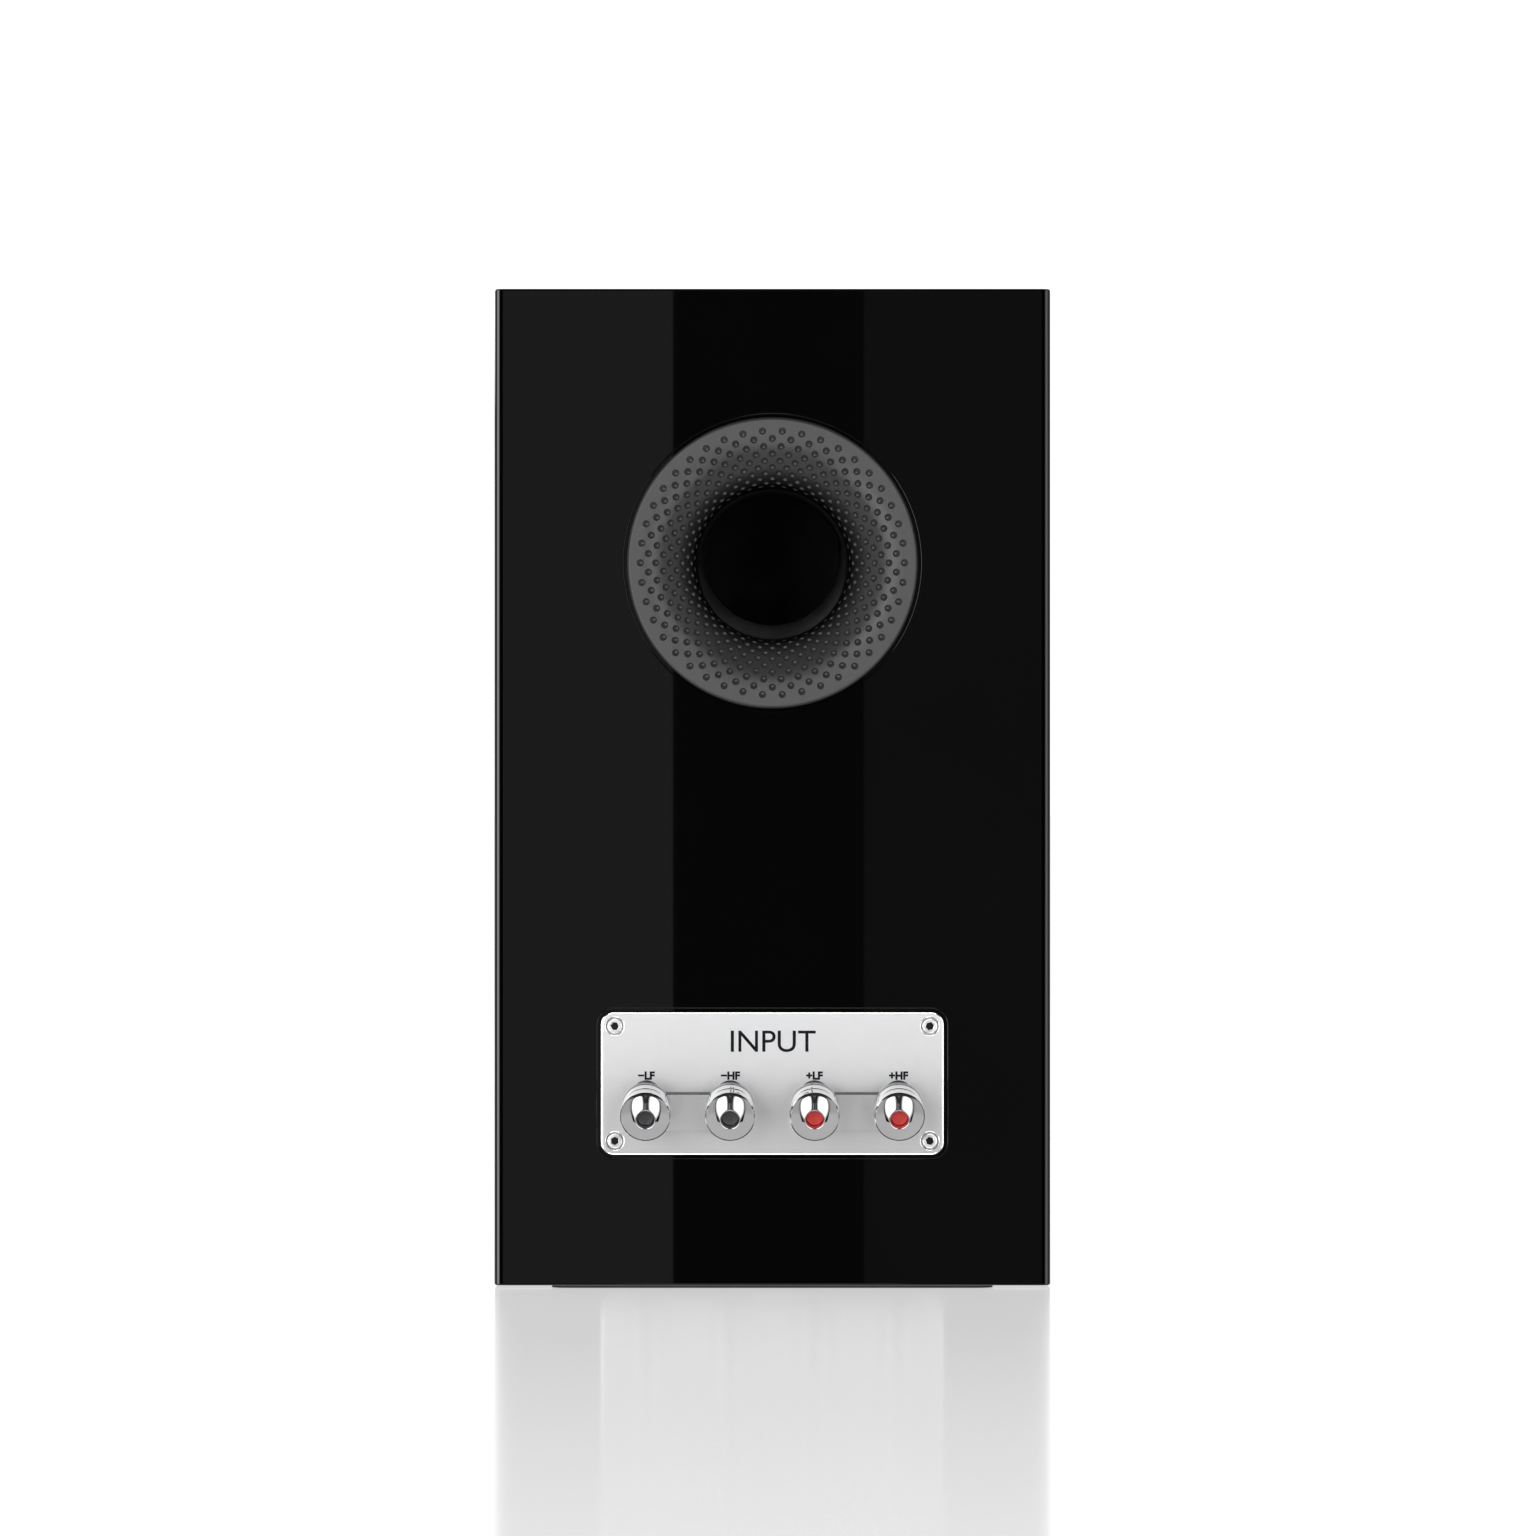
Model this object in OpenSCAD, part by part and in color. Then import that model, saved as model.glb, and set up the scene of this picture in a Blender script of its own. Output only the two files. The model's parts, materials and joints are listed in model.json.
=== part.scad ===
/* [Cabinet] */
// Width across the side panels
cab_w = 192; // [190:1:200]
// Depth from the baffle's front face to the rear face
cab_d = 270; // [262:1:290]
// Height from the underside of the bottom panel to the top
cab_h = 344; // [340:1:360]
// Thickness of the side, top, bottom and rear panels
wall_t = 18; // [17:0.5:18.5]
// Thickness of the front baffle
baffle_t = 25; // [23:1:27]
// Radius of the two upright rear edges
rear_edge_r = 3; // [1:0.5:6]
// Radius of the two upright front edges
front_edge_r = 8; // [3:1:9]
// Thickness of the shelf brace
brace_t = 9; // [8:0.5:9]
// Height of the shelf brace's underside above the cabinet's underside
brace_z = 199; // [197:1:199]
// Thickness of the foam on the inner walls
foam_t = 10; // [5:1:11]

/* [Base] */
// Width of the base pad
pad_w = 152.5; // [130:0.5:170]
// Depth of the base pad
pad_d = 264; // [240:1:266]
// Thickness of the base pad
pad_t = 1; // [0.6:0.1:3]
// Distance between stand inserts, side to side
insert_pitch_x = 100; // [80:1:120]
// Distance between stand inserts, front to back
insert_pitch_y = 160; // [120:1:180]
// Radius of the threaded hole in a stand insert
insert_hole_r = 2.5; // [2:0.1:3]

/* [Reflex port] */
// Height of the port's axis above the cabinet's underside
port_z = 249.4; // [249:0.2:252]
// Radius of the throat
port_r = 26; // [22:0.5:26]
// Radius of the curve that turns the mouth into the throat
flare_r = 20; // [18:0.5:20]
// Radius of the flange
flange_r = 50.3; // [49.5:0.1:52]
// How far the flange stands out of the rear face
flange_proud = 0.5; // [0.2:0.1:1]
// Distance from the rear face to the port's inner end
port_len = 105; // [80:1:120]

/* [Terminal plate] */
// Width of the plate
plate_w = 118.7; // [118:0.1:124]
// Height of the plate
plate_h = 49.6; // [48:0.1:54]
// Thickness of the plate
plate_t = 3; // [2.5:0.1:3]
// Radius of the plate's corners
plate_corner_r = 4.5; // [3:0.1:6]
// Width of the polished bevel round the plate
plate_bevel = 1; // [0.5:0.1:1.5]
// Height of the plate's centre above the cabinet's underside
plate_z = 69.7; // [66:0.1:72]
// Distance from the plate's edges to its screws
plate_screw_inset = 5; // [4.6:0.1:5.4]

/* [Binding posts] */
// Distance between neighbouring posts
post_pitch = 29; // [27:0.5:29]
// How far the posts lean down from square to the plate, in degrees
post_tilt = 17; // [15:0.5:17]
// Distance of the posts' feet below the plate's centre
post_drop = 4.3; // [3:0.1:5]
// Distance along a post from the plate to the link plate's seat
seat_h = 5.6; // [5.5:0.1:7]
// Radius of the stud
stud_r = 3; // [2.5:0.1:3]
// Radius of the clamp washer and of the knob's collar
collar_r = 8.1; // [7.8:0.1:8.4]
// Largest radius of the knob
knob_r = 8.75; // [8.6:0.05:9]
// Distance from the back of the knob to the top of its dome
knob_len = 14.1; // [13.5:0.1:16]
// Radius of the plug hole in the knob's dome
plug_hole_r = 3.1; // [3.05:0.05:3.2]
// Depth of the plug's face below the dome's top
plug_recess = 3.2; // [2:0.1:3.5]

/* [Link plates] */
// Thickness of a link plate
link_t = 3; // [2:0.1:3]
// Height of a link plate
link_h = 13.2; // [12:0.1:13.2]
// Height of a link plate's top edge above the post's axis
link_rise = 3.5; // [3.2:0.1:3.6]

/* [Woofer] */
// Height of the woofer's axis above the cabinet's underside
woofer_z = 111; // [108:1:111]
// Radius of the woofer's frame
frame_r = 86; // [85:0.5:86]
// Outer radius of the half roll of the surround
roll_r = 6; // [5.5:0.1:6]
// Radius of the cone at its rim
cone_rim_r = 62; // [60:0.5:62]
// Radius of the ring magnet
magnet_r = 50; // [44:1:52]
// Number of arms in the basket
basket_arms = 6; // [4:1:6]
// Number of mounting screws
woofer_screw_count = 6; // [4:1:8]

/* [Tweeter] */
// Height of the tweeter's axis above the cabinet's underside
tweeter_z = 257; // [256:1:260]
// Radius of the faceplate
faceplate_r = 52; // [50:0.5:52.5]
// Radius of the dome
dome_r = 12.7; // [12.5:0.1:12.8]
// Height of the dome
dome_h = 5; // [3:0.1:5]
// Radius of the mesh guard
guard_r = 18.8; // [18:0.1:19]
// Height of the mesh guard above its rim
guard_h = 4.2; // [3.8:0.1:5]

/* [Crossover] */
// Width of the crossover board
board_w = 120; // [110:1:124]
// Depth of the crossover board
board_d = 100; // [98:1:102]
// Thickness of the crossover board
board_t = 4; // [2:0.5:5]
// Radius of an internal wire
wire_r = 1.1; // [0.6:0.1:1.2]

/* [Hidden] */
$fn = 96;

// A cut runs this far past the surface that it opens
past = 1;
// Running clearance round the studs and between clamped pieces
slip = 0.05;

// The posts, front to back along their own axis, with the plate's face at 0
seat_r = 5.2;
spigot_r = 4.2;
bush_r = 6;
link_s = seat_h + slip;
link_end_w = 7;
washer_t = 2.5;
washer_s = link_s + link_t + slip;
knob_s = washer_s + washer_t + slip;
dome_s = knob_s + knob_len;
collar_len = 4.4;
groove_len = 1.1;
groove_r = 7.1;
dome_curve_r = 14;
shoulder_r = 2;
shoulder_centre_r = knob_r - shoulder_r;
dome_centre_s = dome_s - dome_curve_r;
shoulder_run = dome_curve_r - shoulder_r;
shoulder_s = dome_centre_s + sqrt(pow(shoulder_run, 2) - pow(shoulder_centre_r, 2));
stud_end_s = dome_s - 6.4;
socket_r = 2;
socket_depth = 12;
plug_face_s = dome_s - plug_recess;
plug_head_t = 2.2;
plug_nose_len = 10;
bush_s = -8.5;
nut_t = 4.5;
nut_r = 5.77;
tag_t = 0.8;
tag_reach = 11;
stud_back_s = bush_s - 2 * nut_t - tag_t - 2;

// Heights and depths of the whole object: the origin is under the middle of its outline
roll_z = -2;
front_out = roll_z + roll_r;
plate_proud = 0.5;
rear_out = plate_proud + dome_centre_s * cos(post_tilt) + dome_curve_r;
rear_y = (front_out + cab_d - rear_out) / 2;
front_y = rear_y - cab_d;
baffle_back_y = front_y + baffle_t;
rear_inner_y = rear_y - wall_t;
inner_w = cab_w - 2 * wall_t;
inner_z = pad_t + wall_t;
inner_h = cab_h - 2 * wall_t;
plate_y = rear_y + plate_proud;
cab_mid_y = rear_y - cab_d / 2;
insert_r = 4.5;
insert_len = 14;

// The port
port_wall = 3;
flange_t = 3;
gasket_t = 1;
flare_centre_r = port_r + flare_r;
flare_centre_z = flange_proud - flare_r;
flange_back_z = flange_proud - flange_t;
port_recess = gasket_t - flange_back_z;
port_recess_r = flange_r + 1;
port_hole_r = 41.5;
tube_wall = 3;
tube_start = -24;
socket_end = -30;
socket_wall = 2.2;
inner_flare_r = 12;
tube_end = -port_len + inner_flare_r + 8;

// The terminal plate
plate_recess = gasket_t + plate_t - plate_proud;
plate_gap = 1;
terminal_hole_w = 102;
terminal_hole_h = 30;
plate_screw_r = 1.5;
plate_screw_len = 13;
plate_head_r = 2.6;
plate_head_h = 1.6;

// The woofer, along its own axis, with the baffle's face at 0
woofer_rebate = 6;
woofer_hole_r = 74;
basket_lip_z = -2.5;
basket_top_r = 73;
basket_foot_r = 50;
basket_foot_z = -57;
basket_sheet = 2;
basket_mouth_r = 69;
ledge_r = 44;
ledge_z = -45;
lip_t = 1;
trim_t = 3;
trim_back_z = -1.5;
top_plate_t = 6;
magnet_t = 18;
yoke_t = 7;
magnet_z = basket_foot_z - top_plate_t - magnet_t;
pole_r = 18.3;
former_in_r = 18.7;
former_r = 19;
winding_r = 19.9;
gap_r = 20.3;
neck_z = -36;
cone_t = 0.8;
cone_lip_w = 5;
cap_r = 24;
cap_h = 7;
woofer_screw_r = 81.5;
woofer_tag_x = 6;
woofer_tag_r = 63;
driver_screw_r = 1.8;
driver_screw_len = 18;
driver_head_r = 3;
driver_head_h = 2;

// The tweeter, along its own axis, with the baffle's face at 0
faceplate_t = 5;
tweeter_hole_r = 38;
membrane_t = 0.4;
tweeter_plate_t = 4;
tweeter_magnet_r = 36;
tweeter_magnet_t = 10;
tweeter_gap_r = 13.1;
tweeter_pole_r = 11.8;
tweeter_coil_r = 12.6;
tweeter_magnet_z = -faceplate_t - membrane_t - tweeter_plate_t - tweeter_magnet_t;
chamber_r = 25;
chamber_len = 28;
tweeter_screw_r = 44;
tweeter_tag_x = 5;
tweeter_tag_r = 32;
tweeter_tag_z = -32;
guard_rim_z = -1.7;

// The crossover
board_y = rear_inner_y - 8 - board_d;
board_top_z = inner_z + board_t;

function post_x(i) = (1.5 - i) * post_pitch;

// ---- Helpers ----

// Stands its children on the rear face: their Z points out and their Y points up
module on_rear(x, z, proud = 0) {
    translate([x, rear_y + proud, pad_t + z]) rotate([90, 0, 180]) children();
}

// Stands its children on the baffle: their Z points out and their Y points up
module on_front(z) {
    translate([0, front_y, pad_t + z]) rotate([90, 0, 0]) children();
}

// Stands its children on the foot of a post: their Z points along the post
module on_post(x) {
    translate([x, plate_y, pad_t + plate_z - post_drop]) rotate([90 + post_tilt, 0, 180]) children();
}

// What a corner at the origin loses when it is rounded
module corner_waste(r) {
    difference() {
        translate([-past, -past]) square(r + past);
        translate([r, r]) circle(r);
    }
}

// A centred rectangle with round corners
module rounded_rectangle(w, h, r) {
    difference() {
        square([w, h], center = true);
        for (flip_x = [0, 1], flip_y = [0, 1]) mirror([flip_x, 0]) mirror([0, flip_y])
            translate([-w / 2, -h / 2]) corner_waste(r);
    }
}

// A ring with its back at z
module ring(r_out, r_in, z, t) {
    translate([0, 0, z]) difference() {
        cylinder(h = t, r = r_out);
        translate([0, 0, -past]) cylinder(h = t + 2 * past, r = r_in);
    }
}

// A hole along Z from z up
module hole(r, z, depth) {
    translate([0, 0, z]) cylinder(h = depth, r = r);
}

// Repeats its children evenly round a circle
module around(count, r, first = 0) {
    for (i = [0 : count - 1]) rotate(first + i * 360 / count) translate([r, 0, 0]) children();
}

// A screw with a hexagon socket: its head's top is at 0
module socket_screw(head_r, head_h, shank_r, shank_len, socket_af) {
    socket_deep = head_h * 0.6;
    difference() {
        union() {
            translate([0, 0, -head_h]) cylinder(h = head_h, r = head_r);
            translate([0, 0, -head_h - shank_len]) cylinder(h = shank_len + past, r = shank_r);
        }
        translate([0, 0, -socket_deep]) cylinder(h = socket_deep + past, r = socket_af / sqrt(3), $fn = 6);
    }
}

// A wire of straight runs with a ball at each bend
module wire(points) {
    for (i = [0 : len(points) - 2]) {
        run = points[i + 1] - points[i];
        length = norm(run);
        turn = atan2(run.y, run.x);
        lean = acos(run.z / length);
        translate(points[i]) rotate([0, lean, turn]) cylinder(h = length, r = wire_r);
    }
    for (i = [1 : len(points) - 2]) translate(points[i]) sphere(wire_r * 1.15);
}

// ---- Cabinet ----

// The cabinet seen from above
module cabinet_plan() {
    difference() {
        translate([-cab_w / 2, front_y]) square([cab_w, cab_d]);
        for (side = [0, 1]) mirror([side, 0]) {
            translate([-cab_w / 2, front_y]) corner_waste(front_edge_r);
            translate([-cab_w / 2, rear_y]) mirror([0, 1]) corner_waste(rear_edge_r);
        }
    }
}

module side_panel(side) {
    strip_x = side < 0 ? -cab_w / 2 : cab_w / 2 - wall_t;
    color("#0b0b0d") translate([0, 0, pad_t]) linear_extrude(cab_h) intersection() {
        cabinet_plan();
        translate([strip_x, baffle_back_y]) square([wall_t, cab_d]);
    }
}

module left_side_panel() side_panel(-1);
module right_side_panel() side_panel(1);

module cross_panel(z) {
    translate([-inner_w / 2, baffle_back_y, z]) cube([inner_w, rear_y - baffle_back_y, wall_t]);
}

module top_panel() color("#0b0b0d") cross_panel(pad_t + cab_h - wall_t);

// The bottom panel is drilled for the stand inserts
module bottom_panel() color("#0b0b0d") difference() {
    cross_panel(pad_t);
    at_inserts() hole(insert_r, -past, insert_len + past);
}

module rear_panel() color("#0b0b0d") difference() {
    translate([-inner_w / 2, rear_inner_y, inner_z]) cube([inner_w, wall_t, inner_h]);
    on_rear(0, port_z) {
        hole(port_recess_r, -port_recess, port_recess + past);
        hole(port_hole_r, -wall_t - past, wall_t + past);
    }
    on_rear(0, plate_z) {
        translate([0, 0, -plate_recess]) linear_extrude(plate_recess + past)
            rounded_rectangle(plate_w + 2 * plate_gap, plate_h + 2 * plate_gap, plate_corner_r + plate_gap);
        translate([0, 0, -wall_t - past]) linear_extrude(wall_t + 2 * past)
            rounded_rectangle(terminal_hole_w, terminal_hole_h, plate_corner_r);
        at_plate_screws() hole(plate_screw_r + slip, -plate_recess - plate_screw_len, plate_screw_len + past);
    }
}

module front_baffle() color("#0b0b0d") difference() {
    translate([0, 0, pad_t]) linear_extrude(cab_h) intersection() {
        cabinet_plan();
        translate([-cab_w / 2, front_y]) square([cab_w, baffle_t]);
    }
    on_front(woofer_z) {
        hole(frame_r + 0.5, -woofer_rebate, woofer_rebate + past);
        hole(woofer_hole_r, -baffle_t - past, baffle_t + past);
        around(woofer_screw_count, woofer_screw_r, 90)
            hole(driver_screw_r + slip, -driver_screw_len - 2, driver_screw_len + 2);
    }
    on_front(tweeter_z) {
        hole(faceplate_r + 0.5, -faceplate_t, faceplate_t + past);
        hole(tweeter_hole_r, -baffle_t - past, baffle_t + past);
        around(4, tweeter_screw_r, 45)
            hole(driver_screw_r + slip, -driver_screw_len - 2, driver_screw_len + 2);
    }
}

// A shelf with two windows, so that both halves of the box share their air
module shelf_brace() color("#b08a5a") {
    run = rear_inner_y - baffle_back_y;
    window_w = inner_w - 40;
    window_d = run / 2 - 28;
    translate([0, baffle_back_y + run / 2, pad_t + brace_z]) linear_extrude(brace_t) difference() {
        square([inner_w, run], center = true);
        for (side = [-1, 1]) translate([0, side * run / 4]) rounded_rectangle(window_w, window_d, 12);
    }
}

// ---- Base ----

module at_inserts() {
    for (sx = [-1, 1], sy = [-1, 1])
        translate([sx * insert_pitch_x / 2, cab_mid_y + sy * insert_pitch_y / 2, pad_t]) children();
}

module base_pad() color("#3c3c3e") difference() {
    translate([0, cab_mid_y, 0]) linear_extrude(pad_t) rounded_rectangle(pad_w, pad_d, 6);
    at_inserts() hole(insert_r + 1.5, -pad_t - past, pad_t + 2 * past);
}

module stand_inserts() color("#b99a4b") at_inserts() ring(insert_r, insert_hole_r, 0, insert_len);

// ---- Foam ----

module foam_slab(x, z, w, h) {
    translate([x, baffle_back_y + 4, z]) cube([w, rear_inner_y - baffle_back_y - 8, h]);
}

module acoustic_foam() color("#4a4b4f") {
    low_z = inner_z + 3;
    brace_top = pad_t + brace_z + brace_t;
    ceiling = pad_t + cab_h - wall_t;
    for (x = [-inner_w / 2, inner_w / 2 - foam_t]) {
        foam_slab(x, low_z, foam_t, pad_t + brace_z - 2 - low_z);
        foam_slab(x, brace_top + 2, foam_t, ceiling - brace_top - 4);
    }
    foam_slab(foam_t + 2 - inner_w / 2, ceiling - foam_t, inner_w - 2 * foam_t - 4, foam_t);
}

// ---- Reflex port ----

module port_gasket() color("#1c1c1e")
    on_rear(0, port_z) ring(flange_r - 0.6, flare_centre_r + 0.2, -port_recess, gasket_t);

module port_flare() color("#4b4c4f") on_rear(0, port_z) rotate_extrude() {
    // The mouth turns from the flange into the throat
    intersection() {
        translate([flare_centre_r, flare_centre_z]) difference() {
            circle(flare_r);
            circle(flare_r - port_wall);
        }
        translate([port_r, flare_centre_z]) square(flare_r);
    }
    // The flange, with its outer edge rounded
    difference() {
        translate([flare_centre_r, flange_back_z]) square([flange_r - flare_centre_r, flange_t]);
        translate([flange_r, flange_proud]) rotate(180) corner_waste(1.3);
    }
    // The throat, and the socket that holds the tube
    translate([port_r, tube_start]) square([port_wall, flare_centre_z - tube_start + past / 2]);
    translate([port_r + tube_wall, socket_end]) square([socket_wall, flare_centre_z - socket_end]);
}

module port_tube() color("#222224")
    on_rear(0, port_z) ring(port_r + tube_wall, port_r, tube_end, tube_start - tube_end);

module port_inner_flare() color("#4b4c4f") on_rear(0, port_z) rotate_extrude() {
    centre_z = -port_len + inner_flare_r;
    intersection() {
        translate([port_r + inner_flare_r, centre_z]) difference() {
            circle(inner_flare_r);
            circle(inner_flare_r - 2);
        }
        translate([port_r, -port_len]) square(inner_flare_r);
    }
    translate([port_r, centre_z - past / 2]) square([2, tube_end - centre_z + past / 2]);
    translate([port_r + tube_wall, centre_z - past / 2]) square([socket_wall, tube_end - centre_z + 6]);
    translate([port_r, centre_z]) square([tube_wall + socket_wall, tube_end - centre_z]);
}

// ---- Terminal plate ----

module at_plate_screws() {
    for (sx = [-1, 1], sy = [-1, 1])
        translate([sx * (plate_w / 2 - plate_screw_inset), sy * (plate_h / 2 - plate_screw_inset), 0])
            children();
}

module terminal_gasket() color("#1c1c1e") on_rear(0, plate_z, -plate_recess) difference() {
    linear_extrude(gasket_t) rounded_rectangle(plate_w - 0.6, plate_h - 0.6, plate_corner_r);
    translate([0, 0, -past]) linear_extrude(gasket_t + 2 * past)
        rounded_rectangle(terminal_hole_w, terminal_hole_h, plate_corner_r);
    at_plate_screws() hole(plate_screw_r + 0.2, -past, gasket_t + 2 * past);
}

// A bar whose top edges are bevelled, for the two straight runs of the plate
module bevelled_bar(w, length) {
    rotate([90, 0, 0]) translate([0, 0, -length / 2]) linear_extrude(length) polygon([
        [-w / 2, -plate_t], [w / 2, -plate_t], [w / 2, -plate_bevel],
        [w / 2 - plate_bevel, 0], [plate_bevel - w / 2, 0], [-w / 2, -plate_bevel]
    ]);
}

module plate_blank() {
    bevelled_bar(plate_w, plate_h - 2 * plate_corner_r);
    rotate(90) bevelled_bar(plate_h, plate_w - 2 * plate_corner_r);
    for (sx = [-1, 1], sy = [-1, 1])
        translate([sx * (plate_w / 2 - plate_corner_r), sy * (plate_h / 2 - plate_corner_r), 0]) {
            translate([0, 0, -plate_t]) cylinder(h = plate_t - plate_bevel, r = plate_corner_r);
            translate([0, 0, -plate_bevel])
                cylinder(h = plate_bevel, r1 = plate_corner_r, r2 = plate_corner_r - plate_bevel);
        }
}

module terminal_plate() color("#c9cacc") difference() {
    on_rear(0, plate_z, plate_proud) difference() {
        plate_blank();
        at_plate_screws() {
            hole(plate_screw_r + 0.2, -plate_t - past, plate_t + past);
            hole(plate_head_r + 0.4, -plate_head_h - 0.1, plate_head_h + past);
        }
    }
    for (i = [0 : 3]) on_post(post_x(i)) hole(spigot_r + slip, -12, 24);
}

module terminal_screws() color("#e2e2e2") on_rear(0, plate_z, plate_proud) at_plate_screws()
    translate([0, 0, -0.1]) socket_screw(plate_head_r, plate_head_h, plate_screw_r, plate_screw_len, 2.5);

// ---- Binding posts ----

// Each post has a wedge-footed seat outside the plate and a wedge-footed bush inside it
module post_insulators() color("#141416") for (i = [0 : 3]) {
    reach = 20;
    difference() {
        on_post(post_x(i)) translate([0, 0, -plate_t]) cylinder(h = seat_h + plate_t, r = seat_r);
        translate([-cab_w, plate_y - reach, 0]) cube([2 * cab_w, reach, cab_h]);
        on_post(post_x(i)) hole(stud_r + slip, -reach, 2 * reach);
    }
    difference() {
        on_post(post_x(i)) {
            translate([0, 0, bush_s]) cylinder(h = -bush_s - 2, r = bush_r);
            translate([0, 0, bush_s]) cylinder(h = 8, r = spigot_r);
        }
        translate([-cab_w, plate_y, 0]) cube([2 * cab_w, reach, cab_h]);
        difference() {
            translate([-cab_w, plate_y - plate_t, 0]) cube([2 * cab_w, plate_t + past, cab_h]);
            on_post(post_x(i)) hole(spigot_r, -reach, 2 * reach);
        }
        on_post(post_x(i)) hole(stud_r + slip, -reach, 2 * reach);
    }
}

module post_studs() color("#d6b25e") for (i = [0 : 3]) on_post(post_x(i)) difference() {
    translate([0, 0, stud_back_s]) cylinder(h = stud_end_s - stud_back_s, r = stud_r);
    hole(socket_r, stud_end_s - socket_depth, socket_depth + past);
}

module post_nuts() color("#c8a856") for (i = [0 : 3]) on_post(post_x(i))
    for (s = [bush_s - nut_t, bush_s - 2 * nut_t - tag_t]) translate([0, 0, s]) difference() {
        cylinder(h = nut_t, r = nut_r, $fn = 6);
        hole(stud_r + slip, -past, nut_t + 2 * past);
    }

// A ring with a tail, for the end of a wire
module solder_tags() color("#d9c07a") {
    for (i = [0 : 3]) on_post(post_x(i)) translate([0, 0, bush_s - nut_t - tag_t]) difference() {
        union() {
            cylinder(h = tag_t, r = 5);
            translate([-2, -tag_reach, 0]) cube([4, tag_reach, tag_t]);
        }
        hole(stud_r + slip, -past, tag_t + 2 * past);
    }
    on_front(woofer_z) for (x = [-woofer_tag_x, woofer_tag_x])
        translate([x - 2, -woofer_tag_r, ledge_z - 1]) cube([4, woofer_tag_r - 55.6, tag_t]);
    on_front(tweeter_z) for (x = [-tweeter_tag_x, tweeter_tag_x])
        translate([x - 1.5, chamber_r, tweeter_tag_z]) cube([3, tweeter_tag_r - chamber_r, tag_t]);
}

module washer(i) color("#dcdcdc") on_post(post_x(i)) translate([0, 0, washer_s]) rotate_extrude() difference() {
    translate([stud_r + slip, 0]) square([collar_r - stud_r - slip, washer_t]);
    translate([collar_r, 0]) mirror([1, 0]) corner_waste(0.5);
}

module low_minus_washer() washer(0);
module high_minus_washer() washer(1);
module low_plus_washer() washer(2);
module high_plus_washer() washer(3);

// Half of the knob's outline: a collar, a groove, and a barrel with a domed end
module knob_outline() {
    barrel_s = knob_s + collar_len + groove_len;
    reach = 1.4;
    translate([0, knob_s]) square([collar_r, collar_len]);
    translate([0, knob_s]) square([groove_r, dome_s - knob_s - 6]);
    difference() {
        translate([0, barrel_s]) square([knob_r, shoulder_s - barrel_s]);
        translate([knob_r, barrel_s]) mirror([1, 0]) corner_waste(1.2);
    }
    translate([shoulder_centre_r, shoulder_s]) circle(shoulder_r);
    intersection() {
        translate([0, dome_centre_s]) circle(dome_curve_r);
        polygon([
            [0, dome_centre_s],
            [shoulder_centre_r * reach, dome_centre_s + (shoulder_s - dome_centre_s) * reach],
            [0, dome_s + dome_curve_r]
        ]);
    }
}

module knob(i) color("#e4e4e4") on_post(post_x(i)) rotate_extrude() difference() {
    knob_outline();
    translate([-past, 0]) square([stud_r + slip + past, dome_s + past]);
    translate([-past, stud_end_s + 0.3]) square([plug_hole_r + past, dome_s]);
}

module low_minus_knob() knob(0);
module high_minus_knob() knob(1);
module low_plus_knob() knob(2);
module high_plus_knob() knob(3);

module plug(i, shade) color(shade) on_post(post_x(i)) {
    translate([0, 0, plug_face_s - plug_head_t]) cylinder(h = plug_head_t, r = plug_hole_r - slip);
    translate([0, 0, plug_face_s - plug_head_t - plug_nose_len])
        cylinder(h = plug_nose_len + past / 2, r = socket_r - slip);
}

module low_minus_plug() plug(0, "#2c2c2e");
module high_minus_plug() plug(1, "#2c2c2e");
module low_plus_plug() plug(2, "#c22a26");
module high_plus_plug() plug(3, "#c22a26");

// A flat plate that hooks over two studs from below
module link(i) color("#b4b5b7") on_post((post_x(i) + post_x(i + 1)) / 2) translate([0, 0, link_s])
    linear_extrude(link_t) difference() {
        translate([0, link_rise - link_h / 2]) rounded_rectangle(post_pitch + 2 * link_end_w, link_h, 1.5);
        for (side = [-1, 1]) translate([side * post_pitch / 2, 0]) {
            circle(stud_r + 0.2);
            translate([-stud_r - 0.2, 0]) square([2 * stud_r + 0.4, link_rise + past]);
        }
    }

module minus_link() link(0);
module plus_link() link(2);

// ---- Woofer ----

function basket_r(z) = basket_foot_r + (basket_top_r - basket_foot_r)
    * (z - basket_foot_z) / (-woofer_rebate - basket_foot_z);

function basket_in_r(z) = basket_r(z) - basket_sheet;

// A pressed frame: a flange, a tapering wall with windows, a ledge for the spider and a foot for the motor
module woofer_basket() color("#2b2c2e") on_front(woofer_z) difference() {
    rotate_extrude() polygon([
        [frame_r, basket_lip_z], [frame_r, -woofer_rebate],
        [basket_top_r, -woofer_rebate], [basket_foot_r, basket_foot_z],
        [gap_r + 1, basket_foot_z], [gap_r + 1, basket_foot_z + basket_sheet],
        [basket_in_r(basket_foot_z + basket_sheet), basket_foot_z + basket_sheet],
        [basket_in_r(ledge_z - basket_sheet), ledge_z - basket_sheet],
        [ledge_r, ledge_z - basket_sheet], [ledge_r, ledge_z], [basket_in_r(ledge_z), ledge_z],
        [basket_in_r(-woofer_rebate), -woofer_rebate],
        [basket_mouth_r, -woofer_rebate], [basket_mouth_r, basket_lip_z]
    ]);
    around(basket_arms, 40, 180 / basket_arms)
        translate([0, -20, ledge_z + 3]) cube([50, 40, -woofer_rebate - 5 - ledge_z - 3]);
    around(woofer_screw_count, woofer_screw_r, 90) hole(driver_screw_r + 0.2, -10, 20);
}

module woofer_top_plate() color("#8f9296") on_front(woofer_z)
    ring(basket_foot_r - 4, gap_r, basket_foot_z - top_plate_t, top_plate_t);

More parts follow.
